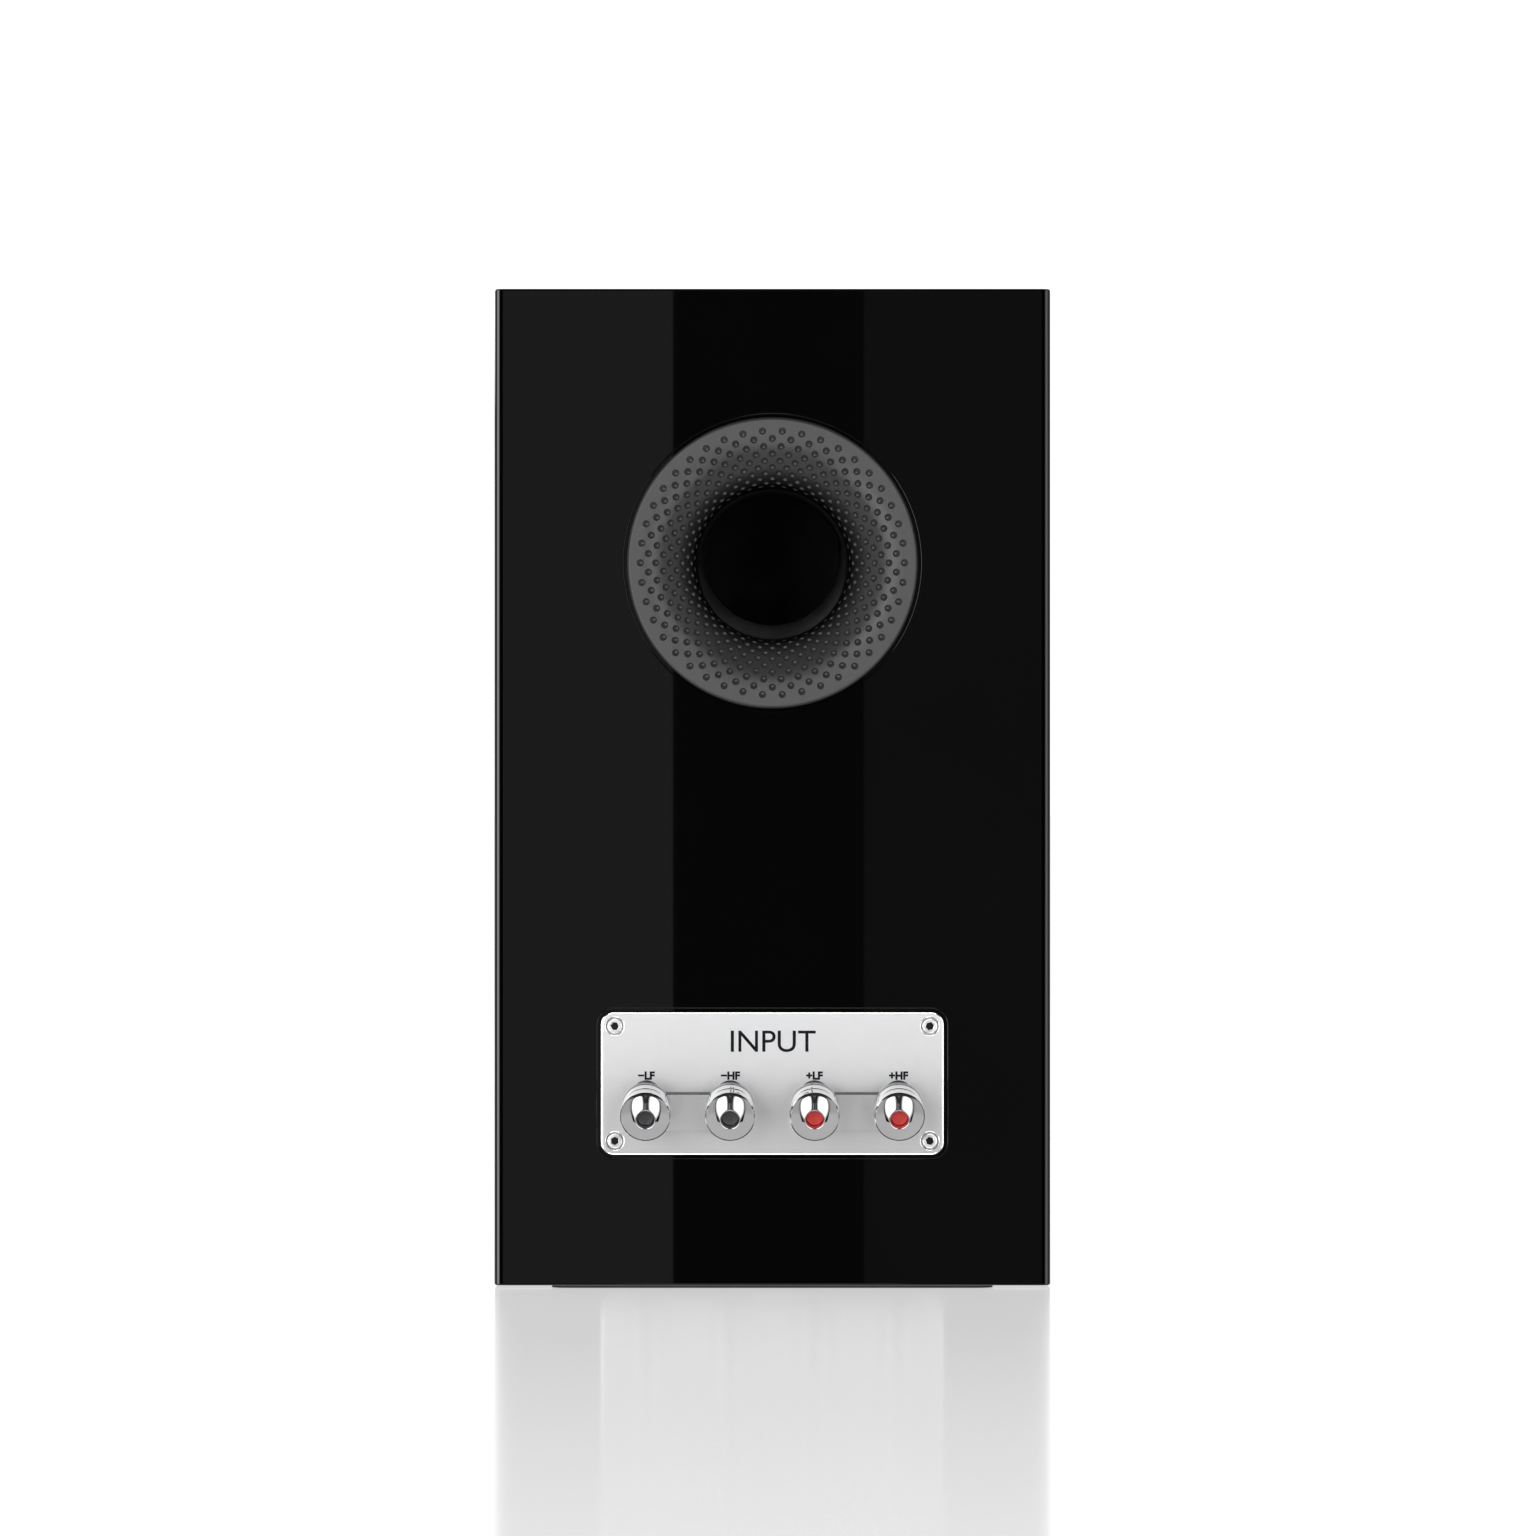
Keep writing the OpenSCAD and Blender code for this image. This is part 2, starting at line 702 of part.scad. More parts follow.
module woofer_magnet() color("#2a2a2c") on_front(woofer_z) ring(magnet_r, 25, magnet_z, magnet_t);

// The back plate and the pole are one piece of steel, with a vent through the middle
module woofer_yoke() color("#8f9296") on_front(woofer_z) difference() {
    union() {
        translate([0, 0, magnet_z - yoke_t]) cylinder(h = yoke_t, r = magnet_r - 3);
        translate([0, 0, magnet_z - past]) cylinder(h = basket_foot_z - magnet_z + past + 1, r = pole_r);
    }
    hole(6, magnet_z - yoke_t - past, 60);
}

// A corrugated disc between the voice coil and the basket
module woofer_spider() color("#b8912f") on_front(woofer_z) {
    waves = 5;
    steps = waves * 6;
    inner = former_r + slip;
    sheet = 0.6;
    swell = 1.2;
    crest = [for (i = [0 : steps])
        [inner + (ledge_r - 0.5 - inner) * i / steps, ledge_z + (i < steps ? swell * sin(i * 60) : 0)]];
    rotate_extrude() polygon(concat(
        [for (p = crest) [p.x, p.y + sheet]],
        [[ledge_r + 5, ledge_z + sheet], [ledge_r + 5, ledge_z]],
        [for (i = [steps : -1 : 0]) crest[i]]
    ));
}

module woofer_voice_coil() color("#a5663a") on_front(woofer_z) {
    ring(former_r, former_in_r, -68, neck_z + 68);
    ring(winding_r, former_r - 0.1, -67, 14);
}

// The cone's front face: it curves gently from its neck to its rim
function cone_z(r) = neck_z + (basket_lip_z - neck_z)
    * pow((r - former_r) / (cone_rim_r - cone_lip_w - former_r), 0.88);

module woofer_cone() color("#1a1a1c") on_front(woofer_z) {
    steps = 8;
    flare_out = cone_rim_r - cone_lip_w - former_r;
    face = [for (i = [0 : steps]) let (r = former_r + flare_out * i / steps) [r, cone_z(r)]];
    rotate_extrude() polygon(concat(
        face,
        [[cone_rim_r, basket_lip_z], [cone_rim_r, basket_lip_z - cone_t],
         [cone_rim_r - cone_lip_w + 0.5, basket_lip_z - cone_t]],
        [for (i = [steps : -1 : 0]) [face[i].x, face[i].y - cone_t * 1.4]]
    ));
}

module woofer_dust_cap() color("#1f1f21") on_front(woofer_z) {
    ball_r = (cap_r * cap_r + cap_h * cap_h) / (2 * cap_h);
    base_z = cone_z(cap_r) + 0.3;
    intersection() {
        translate([0, 0, base_z + cap_h - ball_r]) difference() {
            sphere(ball_r);
            sphere(ball_r - cone_t);
        }
        translate([0, 0, base_z]) cylinder(h = cap_h + past, r = cap_r + past);
    }
}

// A half roll with a flat lip on each side
module woofer_surround() color("#161618") on_front(woofer_z) {
    roll_centre_r = cone_rim_r + roll_r - lip_t / 2;
    rotate_extrude() {
        intersection() {
            translate([roll_centre_r, roll_z]) difference() {
                circle(roll_r);
                circle(roll_r - lip_t);
            }
            translate([0, roll_z]) square(200);
        }
        translate([cone_rim_r - cone_lip_w, basket_lip_z]) square([cone_lip_w + 0.4, lip_t]);
        translate([roll_centre_r + roll_r - lip_t, basket_lip_z]) square([5.5, lip_t]);
    }
}

module woofer_trim_ring() color("#3a3b3e") on_front(woofer_z) difference() {
    rotate_extrude() difference() {
        translate([74, trim_back_z]) square([frame_r - 74, trim_t]);
        translate([frame_r, trim_back_z + trim_t]) rotate(180) corner_waste(1);
        translate([74, trim_back_z + trim_t]) mirror([0, 1]) corner_waste(1.6);
    }
    around(woofer_screw_count, woofer_screw_r, 90) {
        hole(driver_screw_r + 0.2, trim_back_z - past, trim_t + 2 * past);
        hole(driver_head_r + 0.3, trim_back_z + trim_t - driver_head_h - 0.2, driver_head_h + past);
    }
}

module woofer_screws() color("#77787b") on_front(woofer_z) around(woofer_screw_count, woofer_screw_r, 90)
    translate([0, 0, trim_back_z + trim_t - 0.2])
        socket_screw(driver_head_r, driver_head_h, driver_screw_r, driver_screw_len - 1, 3);

// ---- Tweeter ----

module tweeter_faceplate() color("#2d2e31") on_front(tweeter_z) difference() {
    translate([0, 0, -faceplate_t]) cylinder(h = faceplate_t, r = faceplate_r);
    hole(15.6, -faceplate_t - past, faceplate_t + 2 * past);
    translate([0, 0, -4]) cylinder(h = 3, r1 = 15.6, r2 = guard_r - 1);
    hole(guard_r + 0.2, guard_rim_z, past - guard_rim_z);
    translate([0, 0, -1.2]) cylinder(h = 1.2 + slip, r1 = guard_r + 0.2, r2 = guard_r + 7);
    around(4, tweeter_screw_r, 45) {
        hole(driver_screw_r + 0.2, -faceplate_t - past, faceplate_t + 2 * past);
        hole(driver_head_r + 0.3, -driver_head_h - 0.2, driver_head_h + past);
    }
}

// A shallow domed mesh on a flat rim
module tweeter_guard() color("#3f4043") on_front(tweeter_z) {
    rim_z = guard_rim_z;
    sheet = 0.5;
    span = guard_r - 1;
    ball_r = (span * span + guard_h * guard_h) / (2 * guard_h);
    ring(guard_r, span - 0.8, rim_z, sheet);
    intersection() {
        translate([0, 0, rim_z + guard_h - ball_r]) difference() {
            sphere(ball_r);
            sphere(ball_r - sheet);
        }
        translate([0, 0, rim_z]) cylinder(h = guard_h + past, r = span);
    }
}

module tweeter_dome() color("#26272a") on_front(tweeter_z) {
    ball_r = (dome_r * dome_r + dome_h * dome_h) / (2 * dome_h);
    base_z = -faceplate_t;
    intersection() {
        translate([0, 0, base_z + dome_h - ball_r]) difference() {
            sphere(ball_r);
            sphere(ball_r - membrane_t);
        }
        translate([0, 0, base_z]) cylinder(h = dome_h + past, r = dome_r);
    }
}

module tweeter_surround() color("#1b1b1d") on_front(tweeter_z) {
    small_roll = 1.25;
    inner = dome_r + slip;
    rotate_extrude() {
        intersection() {
            translate([inner + small_roll, -faceplate_t - membrane_t]) difference() {
                circle(small_roll);
                circle(small_roll - membrane_t);
            }
            translate([0, -faceplate_t - membrane_t]) square(60);
        }
        translate([inner + 2 * small_roll - membrane_t, -faceplate_t - membrane_t]) square([3, membrane_t]);
    }
}

module tweeter_voice_coil() color("#a5663a") on_front(tweeter_z)
    ring(tweeter_coil_r, tweeter_coil_r - 0.4, -faceplate_t - 4.4, 4.4);

module tweeter_magnet() color("#2a2a2c") on_front(tweeter_z)
    ring(tweeter_magnet_r, 19, tweeter_magnet_z, tweeter_magnet_t);

// A front ring, and a back plate with the pole on it
module tweeter_pole_pieces() color("#8f9296") on_front(tweeter_z) {
    ring(tweeter_magnet_r - 1, tweeter_gap_r, tweeter_magnet_z + tweeter_magnet_t, tweeter_plate_t);
    difference() {
        union() {
            translate([0, 0, tweeter_magnet_z - 5]) cylinder(h = 5, r = tweeter_magnet_r - 1);
            translate([0, 0, tweeter_magnet_z - past])
                cylinder(h = tweeter_magnet_t + tweeter_plate_t + past - 0.4, r = tweeter_pole_r);
        }
        hole(5, tweeter_magnet_z - 5 - past, 30);
    }
}

module tweeter_rear_chamber() color("#37383b") on_front(tweeter_z) difference() {
    translate([0, 0, tweeter_magnet_z - 5 - chamber_len]) cylinder(h = chamber_len, r = chamber_r);
    hole(chamber_r - 2.5, tweeter_magnet_z - 5 - chamber_len + 2.5, chamber_len);
}

module tweeter_screws() color("#77787b") on_front(tweeter_z) around(4, tweeter_screw_r, 45)
    translate([0, 0, -0.2]) socket_screw(driver_head_r, driver_head_h, driver_screw_r, driver_screw_len - 1, 3);

// ---- Crossover ----

module crossover_board() color("#5a3d22")
    translate([-board_w / 2, board_y, inner_z]) cube([board_w, board_d, board_t]);

// Air-cored coils that stand on the board
module inductors() color("#b56a33") for (spec = [[-34, 20, 16], [34, 17, 14]])
    translate([spec[0], board_y + 29, board_top_z]) ring(spec[1], 8, 0, spec[2]);

module capacitors() color("#c9a227") for (spec = [[-17, 8], [1, 7], [17, 6]])
    translate([spec[0], board_y + 54, board_top_z + spec[1]]) rotate([-90, 0, 0]) cylinder(h = 34, r = spec[1]);

module resistors() color("#d8d4c8") for (x = [-44, 34])
    translate([x, board_y + 52, board_top_z]) cube([9, 37, 9]);

// Four wires run from the posts to the board, two to the woofer and two to the tweeter
module internal_wiring() color("#a02020") {
    $fn = 24;
    tag_s = bush_s - nut_t - tag_t / 2;
    tag_end_y = plate_y + tag_s * cos(post_tilt) - tag_reach * sin(post_tilt);
    tag_end_z = pad_t + plate_z - post_drop - tag_s * sin(post_tilt) - tag_reach * cos(post_tilt);
    for (i = [0 : 3]) wire([
        [post_x(i), tag_end_y - 0.3, tag_end_z - 1.4],
        [post_x(i), rear_inner_y - 9, tag_end_z - 5],
        [post_x(i) * 0.95, board_y + board_d - 6, board_top_z + 12],
        [post_x(i) * 0.95, board_y + board_d - 6, board_top_z]
    ]);
    for (side = [-1, 1]) {
        wire([
            [side * 9, board_y + 4, board_top_z],
            [side * 9, board_y + 4, board_top_z + 8],
            [side * woofer_tag_x, front_y - ledge_z + 0.6, pad_t + woofer_z - woofer_tag_r - 8],
            [side * woofer_tag_x, front_y - ledge_z + 0.6, pad_t + woofer_z - woofer_tag_r]
        ]);
        wire([
            [side * 22, board_y + 4, board_top_z],
            [side * 22, board_y + 4, board_top_z + 8],
            [side * 30, front_y + 115, 80],
            [side * 34, front_y + 104, 180],
            [side * 38, front_y + 80, 226],
            [side * 36, front_y + 50, 284],
            [side * tweeter_tag_x, front_y - tweeter_tag_z - 0.4, pad_t + tweeter_z + tweeter_tag_r + 6],
            [side * tweeter_tag_x, front_y - tweeter_tag_z - 0.4, pad_t + tweeter_z + tweeter_tag_r]
        ]);
    }
}

left_side_panel();
right_side_panel();
top_panel();
bottom_panel();
rear_panel();
front_baffle();
shelf_brace();
base_pad();
stand_inserts();
acoustic_foam();
port_gasket();
port_flare();
port_tube();
port_inner_flare();
terminal_gasket();
terminal_plate();
terminal_screws();
post_insulators();
post_studs();
post_nuts();
solder_tags();
low_minus_washer();
high_minus_washer();
low_plus_washer();
high_plus_washer();
low_minus_knob();
high_minus_knob();
low_plus_knob();
high_plus_knob();
low_minus_plug();
high_minus_plug();
low_plus_plug();
high_plus_plug();
minus_link();
plus_link();
woofer_basket();
woofer_top_plate();
woofer_magnet();
woofer_yoke();
woofer_spider();
woofer_voice_coil();
woofer_cone();
woofer_dust_cap();
woofer_surround();
woofer_trim_ring();
woofer_screws();
tweeter_faceplate();
tweeter_guard();
tweeter_dome();
tweeter_surround();
tweeter_voice_coil();
tweeter_magnet();
tweeter_pole_pieces();
tweeter_rear_chamber();
tweeter_screws();
crossover_board();
inductors();
capacitors();
resistors();
internal_wiring();
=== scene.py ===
import json
import math

import bmesh
import bpy
from mathutils import Matrix, Vector

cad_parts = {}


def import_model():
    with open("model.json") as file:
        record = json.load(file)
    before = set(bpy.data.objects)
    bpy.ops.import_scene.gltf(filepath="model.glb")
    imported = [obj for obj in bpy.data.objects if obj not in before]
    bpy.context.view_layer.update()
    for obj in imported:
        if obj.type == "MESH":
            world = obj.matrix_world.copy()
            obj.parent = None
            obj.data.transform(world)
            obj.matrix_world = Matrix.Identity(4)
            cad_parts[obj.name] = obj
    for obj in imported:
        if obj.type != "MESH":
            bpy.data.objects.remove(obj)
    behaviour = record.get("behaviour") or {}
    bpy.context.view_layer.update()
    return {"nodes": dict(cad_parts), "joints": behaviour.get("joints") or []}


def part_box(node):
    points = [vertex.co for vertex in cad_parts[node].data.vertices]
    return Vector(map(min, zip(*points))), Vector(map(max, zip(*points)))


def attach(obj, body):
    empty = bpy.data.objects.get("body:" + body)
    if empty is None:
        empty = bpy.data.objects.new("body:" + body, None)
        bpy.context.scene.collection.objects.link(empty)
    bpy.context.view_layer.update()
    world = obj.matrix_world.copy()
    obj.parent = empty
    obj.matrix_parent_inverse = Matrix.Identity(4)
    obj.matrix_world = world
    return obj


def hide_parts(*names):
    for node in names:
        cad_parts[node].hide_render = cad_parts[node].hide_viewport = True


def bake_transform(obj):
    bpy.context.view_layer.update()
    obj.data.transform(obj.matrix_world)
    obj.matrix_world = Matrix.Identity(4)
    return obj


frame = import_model()
nodes = frame["nodes"]
joints = {j["name"]: j for j in frame["joints"]}

MM = 0.001
TURN = 2 * math.pi
scene = bpy.context.scene


# ---- Places, all read from the frame ----

def middle(node):
    low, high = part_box(node)
    return (low + high) / 2


def size_mm(node):
    low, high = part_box(node)
    return (high - low) / MM


REAR_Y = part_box("rear_panel")[1].y
FRONT_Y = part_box("front_baffle")[0].y
FLOOR_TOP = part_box("base_pad")[0].z
PLATE_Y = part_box("terminal_plate")[1].y
POSTS = ("low_minus", "high_minus", "low_plus", "high_plus")


def placement(origin, right, up, out):
    """A matrix that stands a piece at origin, with its own X, Y and Z along right, up and out."""
    m = Matrix((right, up, out)).transposed().to_4x4()
    m.translation = origin
    return m


def facing_rear(x, y, z):
    return placement(Vector((x, y, z)), (-1, 0, 0), (0, 0, 1), (0, 1, 0))


def facing_front(node):
    centre = middle(node)
    return placement(Vector((centre.x, FRONT_Y, centre.z)), (1, 0, 0), (0, 0, 1), (0, -1, 0))


def along_post(post):
    joint = joints[post + "_knob_turn"]
    out = Vector(joint["axis"]).normalized()
    right = Vector((-1, 0, 0))
    return placement(Vector(joint["pos_m"]), right, out.cross(right), out)


def span_along(node, place):
    """The lowest and highest distance of a node along a placement's Z, in millimetres."""
    back = place.inverted()
    reach = [(back @ v.co).z / MM for v in nodes[node].data.vertices]
    return min(reach), max(reach)


def widest_round(node, place):
    """The largest distance of a node from a placement's Z, in millimetres."""
    back = place.inverted()
    return max((back @ v.co).xy.length / MM for v in nodes[node].data.vertices)


# ---- Mesh tools ----

def arc(cx, cy, r, start, end, steps=6):
    """Points on an arc, its angles in degrees."""
    return [
        (cx + r * math.cos(math.radians(start + (end - start) * i / steps)),
         cy + r * math.sin(math.radians(start + (end - start) * i / steps)))
        for i in range(steps + 1)
    ]


def rounded(corners, closed=True, steps=5):
    """An outline from corners (x, y, radius), with an arc in place of each corner that has a radius."""
    points = []
    count = len(corners)
    for i, (x, y, r) in enumerate(corners):
        here = Vector((x, y))
        if r <= 0 or (not closed and i in (0, count - 1)):
            points.append((x, y))
            continue
        before = (Vector(corners[i - 1][:2]) - here).normalized()
        after = (Vector(corners[(i + 1) % count][:2]) - here).normalized()
        half = before.angle(after) / 2
        reach = r / math.tan(half)
        centre = here + (before + after).normalized() * (r / math.sin(half))
        start = here + before * reach - centre
        end = here + after * reach - centre
        sweep = start.angle_signed(end)
        for k in range(steps + 1):
            spoke = start.copy()
            spoke.rotate(Matrix.Rotation(-sweep * k / steps, 2))
            points.append(tuple(centre + spoke))
    return points


def rounded_box(w, h, r, steps=6):
    x, y = w / 2, h / 2
    return rounded([(-x, -y, r), (x, -y, r), (x, y, r), (-x, y, r)], steps=steps)


def circle(r, count):
    return [(r * math.cos(TURN * k / count), r * math.sin(TURN * k / count)) for k in range(count)]


def lifted(outline, z):
    return [(x, y, z) for x, y in outline]


def link_in(name, data):
    obj = bpy.data.objects.new(name, data)
    scene.collection.objects.link(obj)
    return obj


def shade(mesh, sharp):
    """Smooth shading, with edges kept sharp above an angle in degrees."""
    mesh.shade_smooth()
    mesh.set_sharp_from_angle(angle=math.radians(sharp))


def to_object(name, bm, place=None, sharp=32):
    """Turns a bmesh in millimetres into a smooth-shaded object in metres, with its place in its mesh."""
    bmesh.ops.recalc_face_normals(bm, faces=bm.faces)
    mesh = bpy.data.meshes.new(name)
    bm.to_mesh(mesh)
    bm.free()
    mesh.transform((place or Matrix.Identity(4)) @ Matrix.Scale(MM, 4))
    shade(mesh, sharp)
    return link_in(name, mesh)


def sweep_round(bm, profile, segments, closed):
    """Adds a profile of (radius, z) points, turned about Z."""
    rings = [
        [bm.verts.new(p) for p in (lifted(circle(r, segments), z) if r > 1e-6 else [(0, 0, z)])]
        for r, z in profile
    ]
    pairs = list(zip(rings, rings[1:]))
    if closed:
        pairs.append((rings[-1], rings[0]))
    for a, b in pairs:
        for k in range(segments):
            n = (k + 1) % segments
            kept = list(dict.fromkeys([a[k % len(a)], a[n % len(a)], b[n % len(b)], b[k % len(b)]]))
            if len(kept) > 2:
                bm.faces.new(kept)


def lathe(name, profile, place, segments=96, closed=True, sharp=32):
    bm = bmesh.new()
    sweep_round(bm, profile, segments, closed)
    return to_object(name, bm, place, sharp)


def bridge(bm, a, b):
    """Faces between two rings of the same count."""
    for k in range(len(a)):
        n = (k + 1) % len(a)
        bm.faces.new((a[k], a[n], b[n], b[k]))


def stack(bm, loops):
    """Joins loops of 3-D points that all have the same count, and closes both ends."""
    rings = [[bm.verts.new(p) for p in loop] for loop in loops]
    for a, b in zip(rings, rings[1:]):
        bridge(bm, a, b)
    bm.faces.new(rings[0])
    bm.faces.new(rings[-1])


def slab(bm, outline_at, z0, z1, edge, steps):
    """A slab with softened edges. outline_at(inset) gives its outline drawn in by inset."""
    turns = [math.pi / 2 * k / steps for k in range(steps + 1)]
    loops = [lifted(outline_at(edge * (1 - math.sin(a))), z0 + edge * (1 - math.cos(a))) for a in turns]
    loops += [lifted(outline_at(edge * (1 - math.cos(a))), z1 - edge * (1 - math.sin(a))) for a in turns]
    stack(bm, loops)


def soften(obj, width_mm, segments, angle):
    """Rounds an object's sharp edges for good, with a bevel."""
    bevel = obj.modifiers.new("soft edges", "BEVEL")
    bevel.width = width_mm * MM
    bevel.segments = segments
    bevel.limit_method = "ANGLE"
    bevel.angle_limit = math.radians(angle)
    apply_modifiers(obj)


def apply_modifiers(obj):
    bpy.context.view_layer.update()
    graph = bpy.context.evaluated_depsgraph_get()
    mesh = bpy.data.meshes.new_from_object(obj.evaluated_get(graph))
    obj.modifiers.clear()
    obj.data = mesh


def cut(obj, cutters):
    """Takes the cutters out of an object, then deletes them."""
    for cutter in cutters:
        boolean = obj.modifiers.new("cut", "BOOLEAN")
        boolean.operation = "DIFFERENCE"
        boolean.solver = "EXACT"
        boolean.object = cutter
    apply_modifiers(obj)
    for cutter in cutters:
        bpy.data.objects.remove(cutter)


def fence_flats(obj, angle=40, flat_along=None):
    """Smooth shading that stops at the border of every flat face, so that big mirrors stay true."""
    mesh = obj.data
    shade(mesh, angle)
    nearly_one = 0.99995

    def is_flat(normal):
        if flat_along is not None:
            return abs(normal.dot(flat_along)) > nearly_one
        return max(abs(c) for c in normal) > nearly_one

    kinds = {}
    for face in mesh.polygons:
        flat = is_flat(face.normal)
        for key in face.edge_keys:
            kinds.setdefault(key, set()).add(flat)
    for edge in mesh.edges:
        if len(kinds.get(edge.key, ())) > 1:
            edge.use_edge_sharp = True


# ---- Materials ----

class Surface:
    """A material with its shader, and short calls for the nodes that feed it."""

    def __init__(self, name):
        self.material = bpy.data.materials.new(name)
        self.material.use_nodes = True
        self.tree = self.material.node_tree
        self.shader = self.tree.nodes["Principled BSDF"]
        self.place = self.tree.nodes.new("ShaderNodeTexCoord").outputs["Object"]
        self.normal = None

    def set(self, **values):
        for key, value in values.items():
            self.shader.inputs[key.replace("_", " ")].default_value = value
        return self

    def node(self, kind, **settings):
        made = self.tree.nodes.new("ShaderNode" + kind)
        for key, value in settings.items():
            setattr(made, key, value)
        return made

    def wire(self, source, target):
        self.tree.links.new(source, target)
        return target

    def scaled(self, scale):
        mapping = self.node("Mapping")
        mapping.inputs["Scale"].default_value = scale if isinstance(scale, tuple) else (scale,) * 3
        self.wire(self.place, mapping.inputs["Vector"])
        return mapping.outputs["Vector"]

    def place_along(self, axis):
        made = self.node("SeparateXYZ")
        self.wire(self.place, made.inputs["Vector"])
        return made.outputs[axis]

    def facing(self, axis):
        """How far the surface faces along an axis: 1 straight along it, 0 square to it."""
        made = self.node("SeparateXYZ")
        self.wire(self.node("NewGeometry").outputs["Normal"], made.inputs["Vector"])
        return made.outputs[axis]

    def noise(self, scale, detail=3.0, roughness=0.5):
        made = self.node("TexNoise")
        made.inputs["Scale"].default_value = 1.0
        made.inputs["Detail"].default_value = detail
        made.inputs["Roughness"].default_value = roughness
        self.wire(self.scaled(scale), made.inputs["Vector"])
        return made.outputs["Fac"]

    def ridges(self, scale, direction):
        made = self.node("TexWave", wave_type="BANDS", bands_direction=direction)
        made.inputs["Scale"].default_value = 1.0
        self.wire(self.scaled(scale), made.inputs["Vector"])
        return made.outputs["Fac"]

    def remap(self, source, low, high, from_low=0.3, from_high=0.7):
        made = self.node("MapRange")
        made.inputs["From Min"].default_value = from_low
        made.inputs["From Max"].default_value = from_high
        made.inputs["To Min"].default_value = low
        made.inputs["To Max"].default_value = high
        self.wire(source, made.inputs["Value"])
        return made.outputs["Result"]

    def mix(self, factor, a, b):
        made = self.node("Mix", data_type="RGBA")
        self.wire(factor, made.inputs["Factor"])
        for socket, value in ((made.inputs[6], a), (made.inputs[7], b)):
            if isinstance(value, tuple):
                socket.default_value = (*value, 1)
            else:
                self.wire(value, socket)
        return made.outputs[2]

    def mottled(self, scale, detail, dark, light):
        return self.mix(self.remap(self.noise(scale, detail), 0.0, 1.0), dark, light)

    def colour(self, source):
        self.wire(source, self.shader.inputs["Base Color"])

    def rough(self, source):
        self.wire(source, self.shader.inputs["Roughness"])

    def uneven_gloss(self, scale, detail, low, high):
        self.rough(self.remap(self.noise(scale, detail), low, high))

    def bump(self, height, depth_mm, strength=1.0):
        made = self.node("Bump")
        made.inputs["Strength"].default_value = strength
        made.inputs["Distance"].default_value = depth_mm * MM
        self.wire(height, made.inputs["Height"])
        if self.normal:
            self.wire(self.normal, made.inputs["Normal"])
        self.normal = made.outputs["Normal"]
        self.wire(self.normal, self.shader.inputs["Normal"])


def tinted(colour, share):
    return tuple(c * share for c in colour)


def plain_surface(name, colour, roughness, metallic=0.0, mottle=0.12, grain=900.0, grain_mm=0.02, **settings):
    """Base for most materials: slightly uneven colour and gloss, over a fine grain."""
    s = Surface(name).set(Metallic=metallic, **settings)
    s.colour(s.mottled(35.0, 4.0, tinted(colour, 1 - mottle), tinted(colour, 1 + mottle)))
    s.uneven_gloss(120.0, 5.0, roughness * 0.88, min(1.0, roughness * 1.12))
    s.bump(s.noise(grain, 2.0), grain_mm, 0.4)
    return s


def lacquer():
    s = Surface("black_lacquer").set(Coat_Weight=1.0, Coat_Roughness=0.01, Specular_IOR_Level=0.0)
    s.colour(s.mottled(18.0, 2.0, (0.0006, 0.0006, 0.0007), (0.001, 0.001, 0.0012)))
    s.uneven_gloss(40.0, 4.0, 0.10, 0.16)
    return s.material


def chrome(name, dark, light, low, high):
    """Polished metal between two tones and two roughnesses."""
    s = Surface(name).set(Metallic=1.0)
    s.colour(s.mottled(60.0, 3.0, dark, light))
    s.uneven_gloss(400.0, 6.0, low, high)
    s.bump(s.noise(2500.0, 2.0), 0.002, 0.15)
    return s.material


def anodised_plate():
    """Satin on the face, with painted shade that darkens it towards its foot. Polished on the bevel and in
    the holes.
    """
    s = Surface("anodised_plate").set(Metallic=1.0)
    on_face = s.remap(s.facing("Y"), 0.0, 1.0, 0.9, 0.98)
    # Painted shade: the face's colour darkens from the plate's top to its foot
    low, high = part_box("terminal_plate")
    height = s.remap(s.place_along("Z"), 0.0, 1.0, low.z, high.z)
    light = s.mix(height, tinted(PLATE_TONE, PLATE_FOOT_SHADE), PLATE_TONE)
    satin = s.mix(s.remap(s.noise(25.0, 3.0), 0.0, 0.06), light, (1.0, 1.0, 1.0))
    s.colour(s.mix(on_face, (0.95, 0.95, 0.95), satin))
    polish = s.node("Mix", data_type="FLOAT")
    s.wire(on_face, polish.inputs["Factor"])
    polish.inputs["A"].default_value = 0.16
    s.wire(s.remap(s.noise(900.0, 4.0), 0.40, 0.50), polish.inputs["B"])
    s.rough(polish.outputs["Result"])
    s.bump(s.noise(3500.0, 2.0), 0.012, 0.25)
    return s.material


def link_plate_metal():
    """Satin nickel, with painted shade darkening the sheared edges that face upwards."""
    s = Surface("satin_nickel").set(Metallic=1.0)
    upward_painted_shade = s.remap(s.facing("Z"), 0.0, 1.0, 0.2, 0.7)
    satin = s.mottled(35.0, 4.0, (0.90, 0.90, 0.91), (0.95, 0.95, 0.96))
    # Painted shade: the edges that face upwards are nearly black
    s.colour(s.mix(upward_painted_shade, satin, (0.07, 0.07, 0.07)))
    s.uneven_gloss(120.0, 5.0, 0.31, 0.37)
    s.bump(s.noise((60.0, 2500.0, 2500.0), 2.0), 0.006, 0.3)
    return s.material


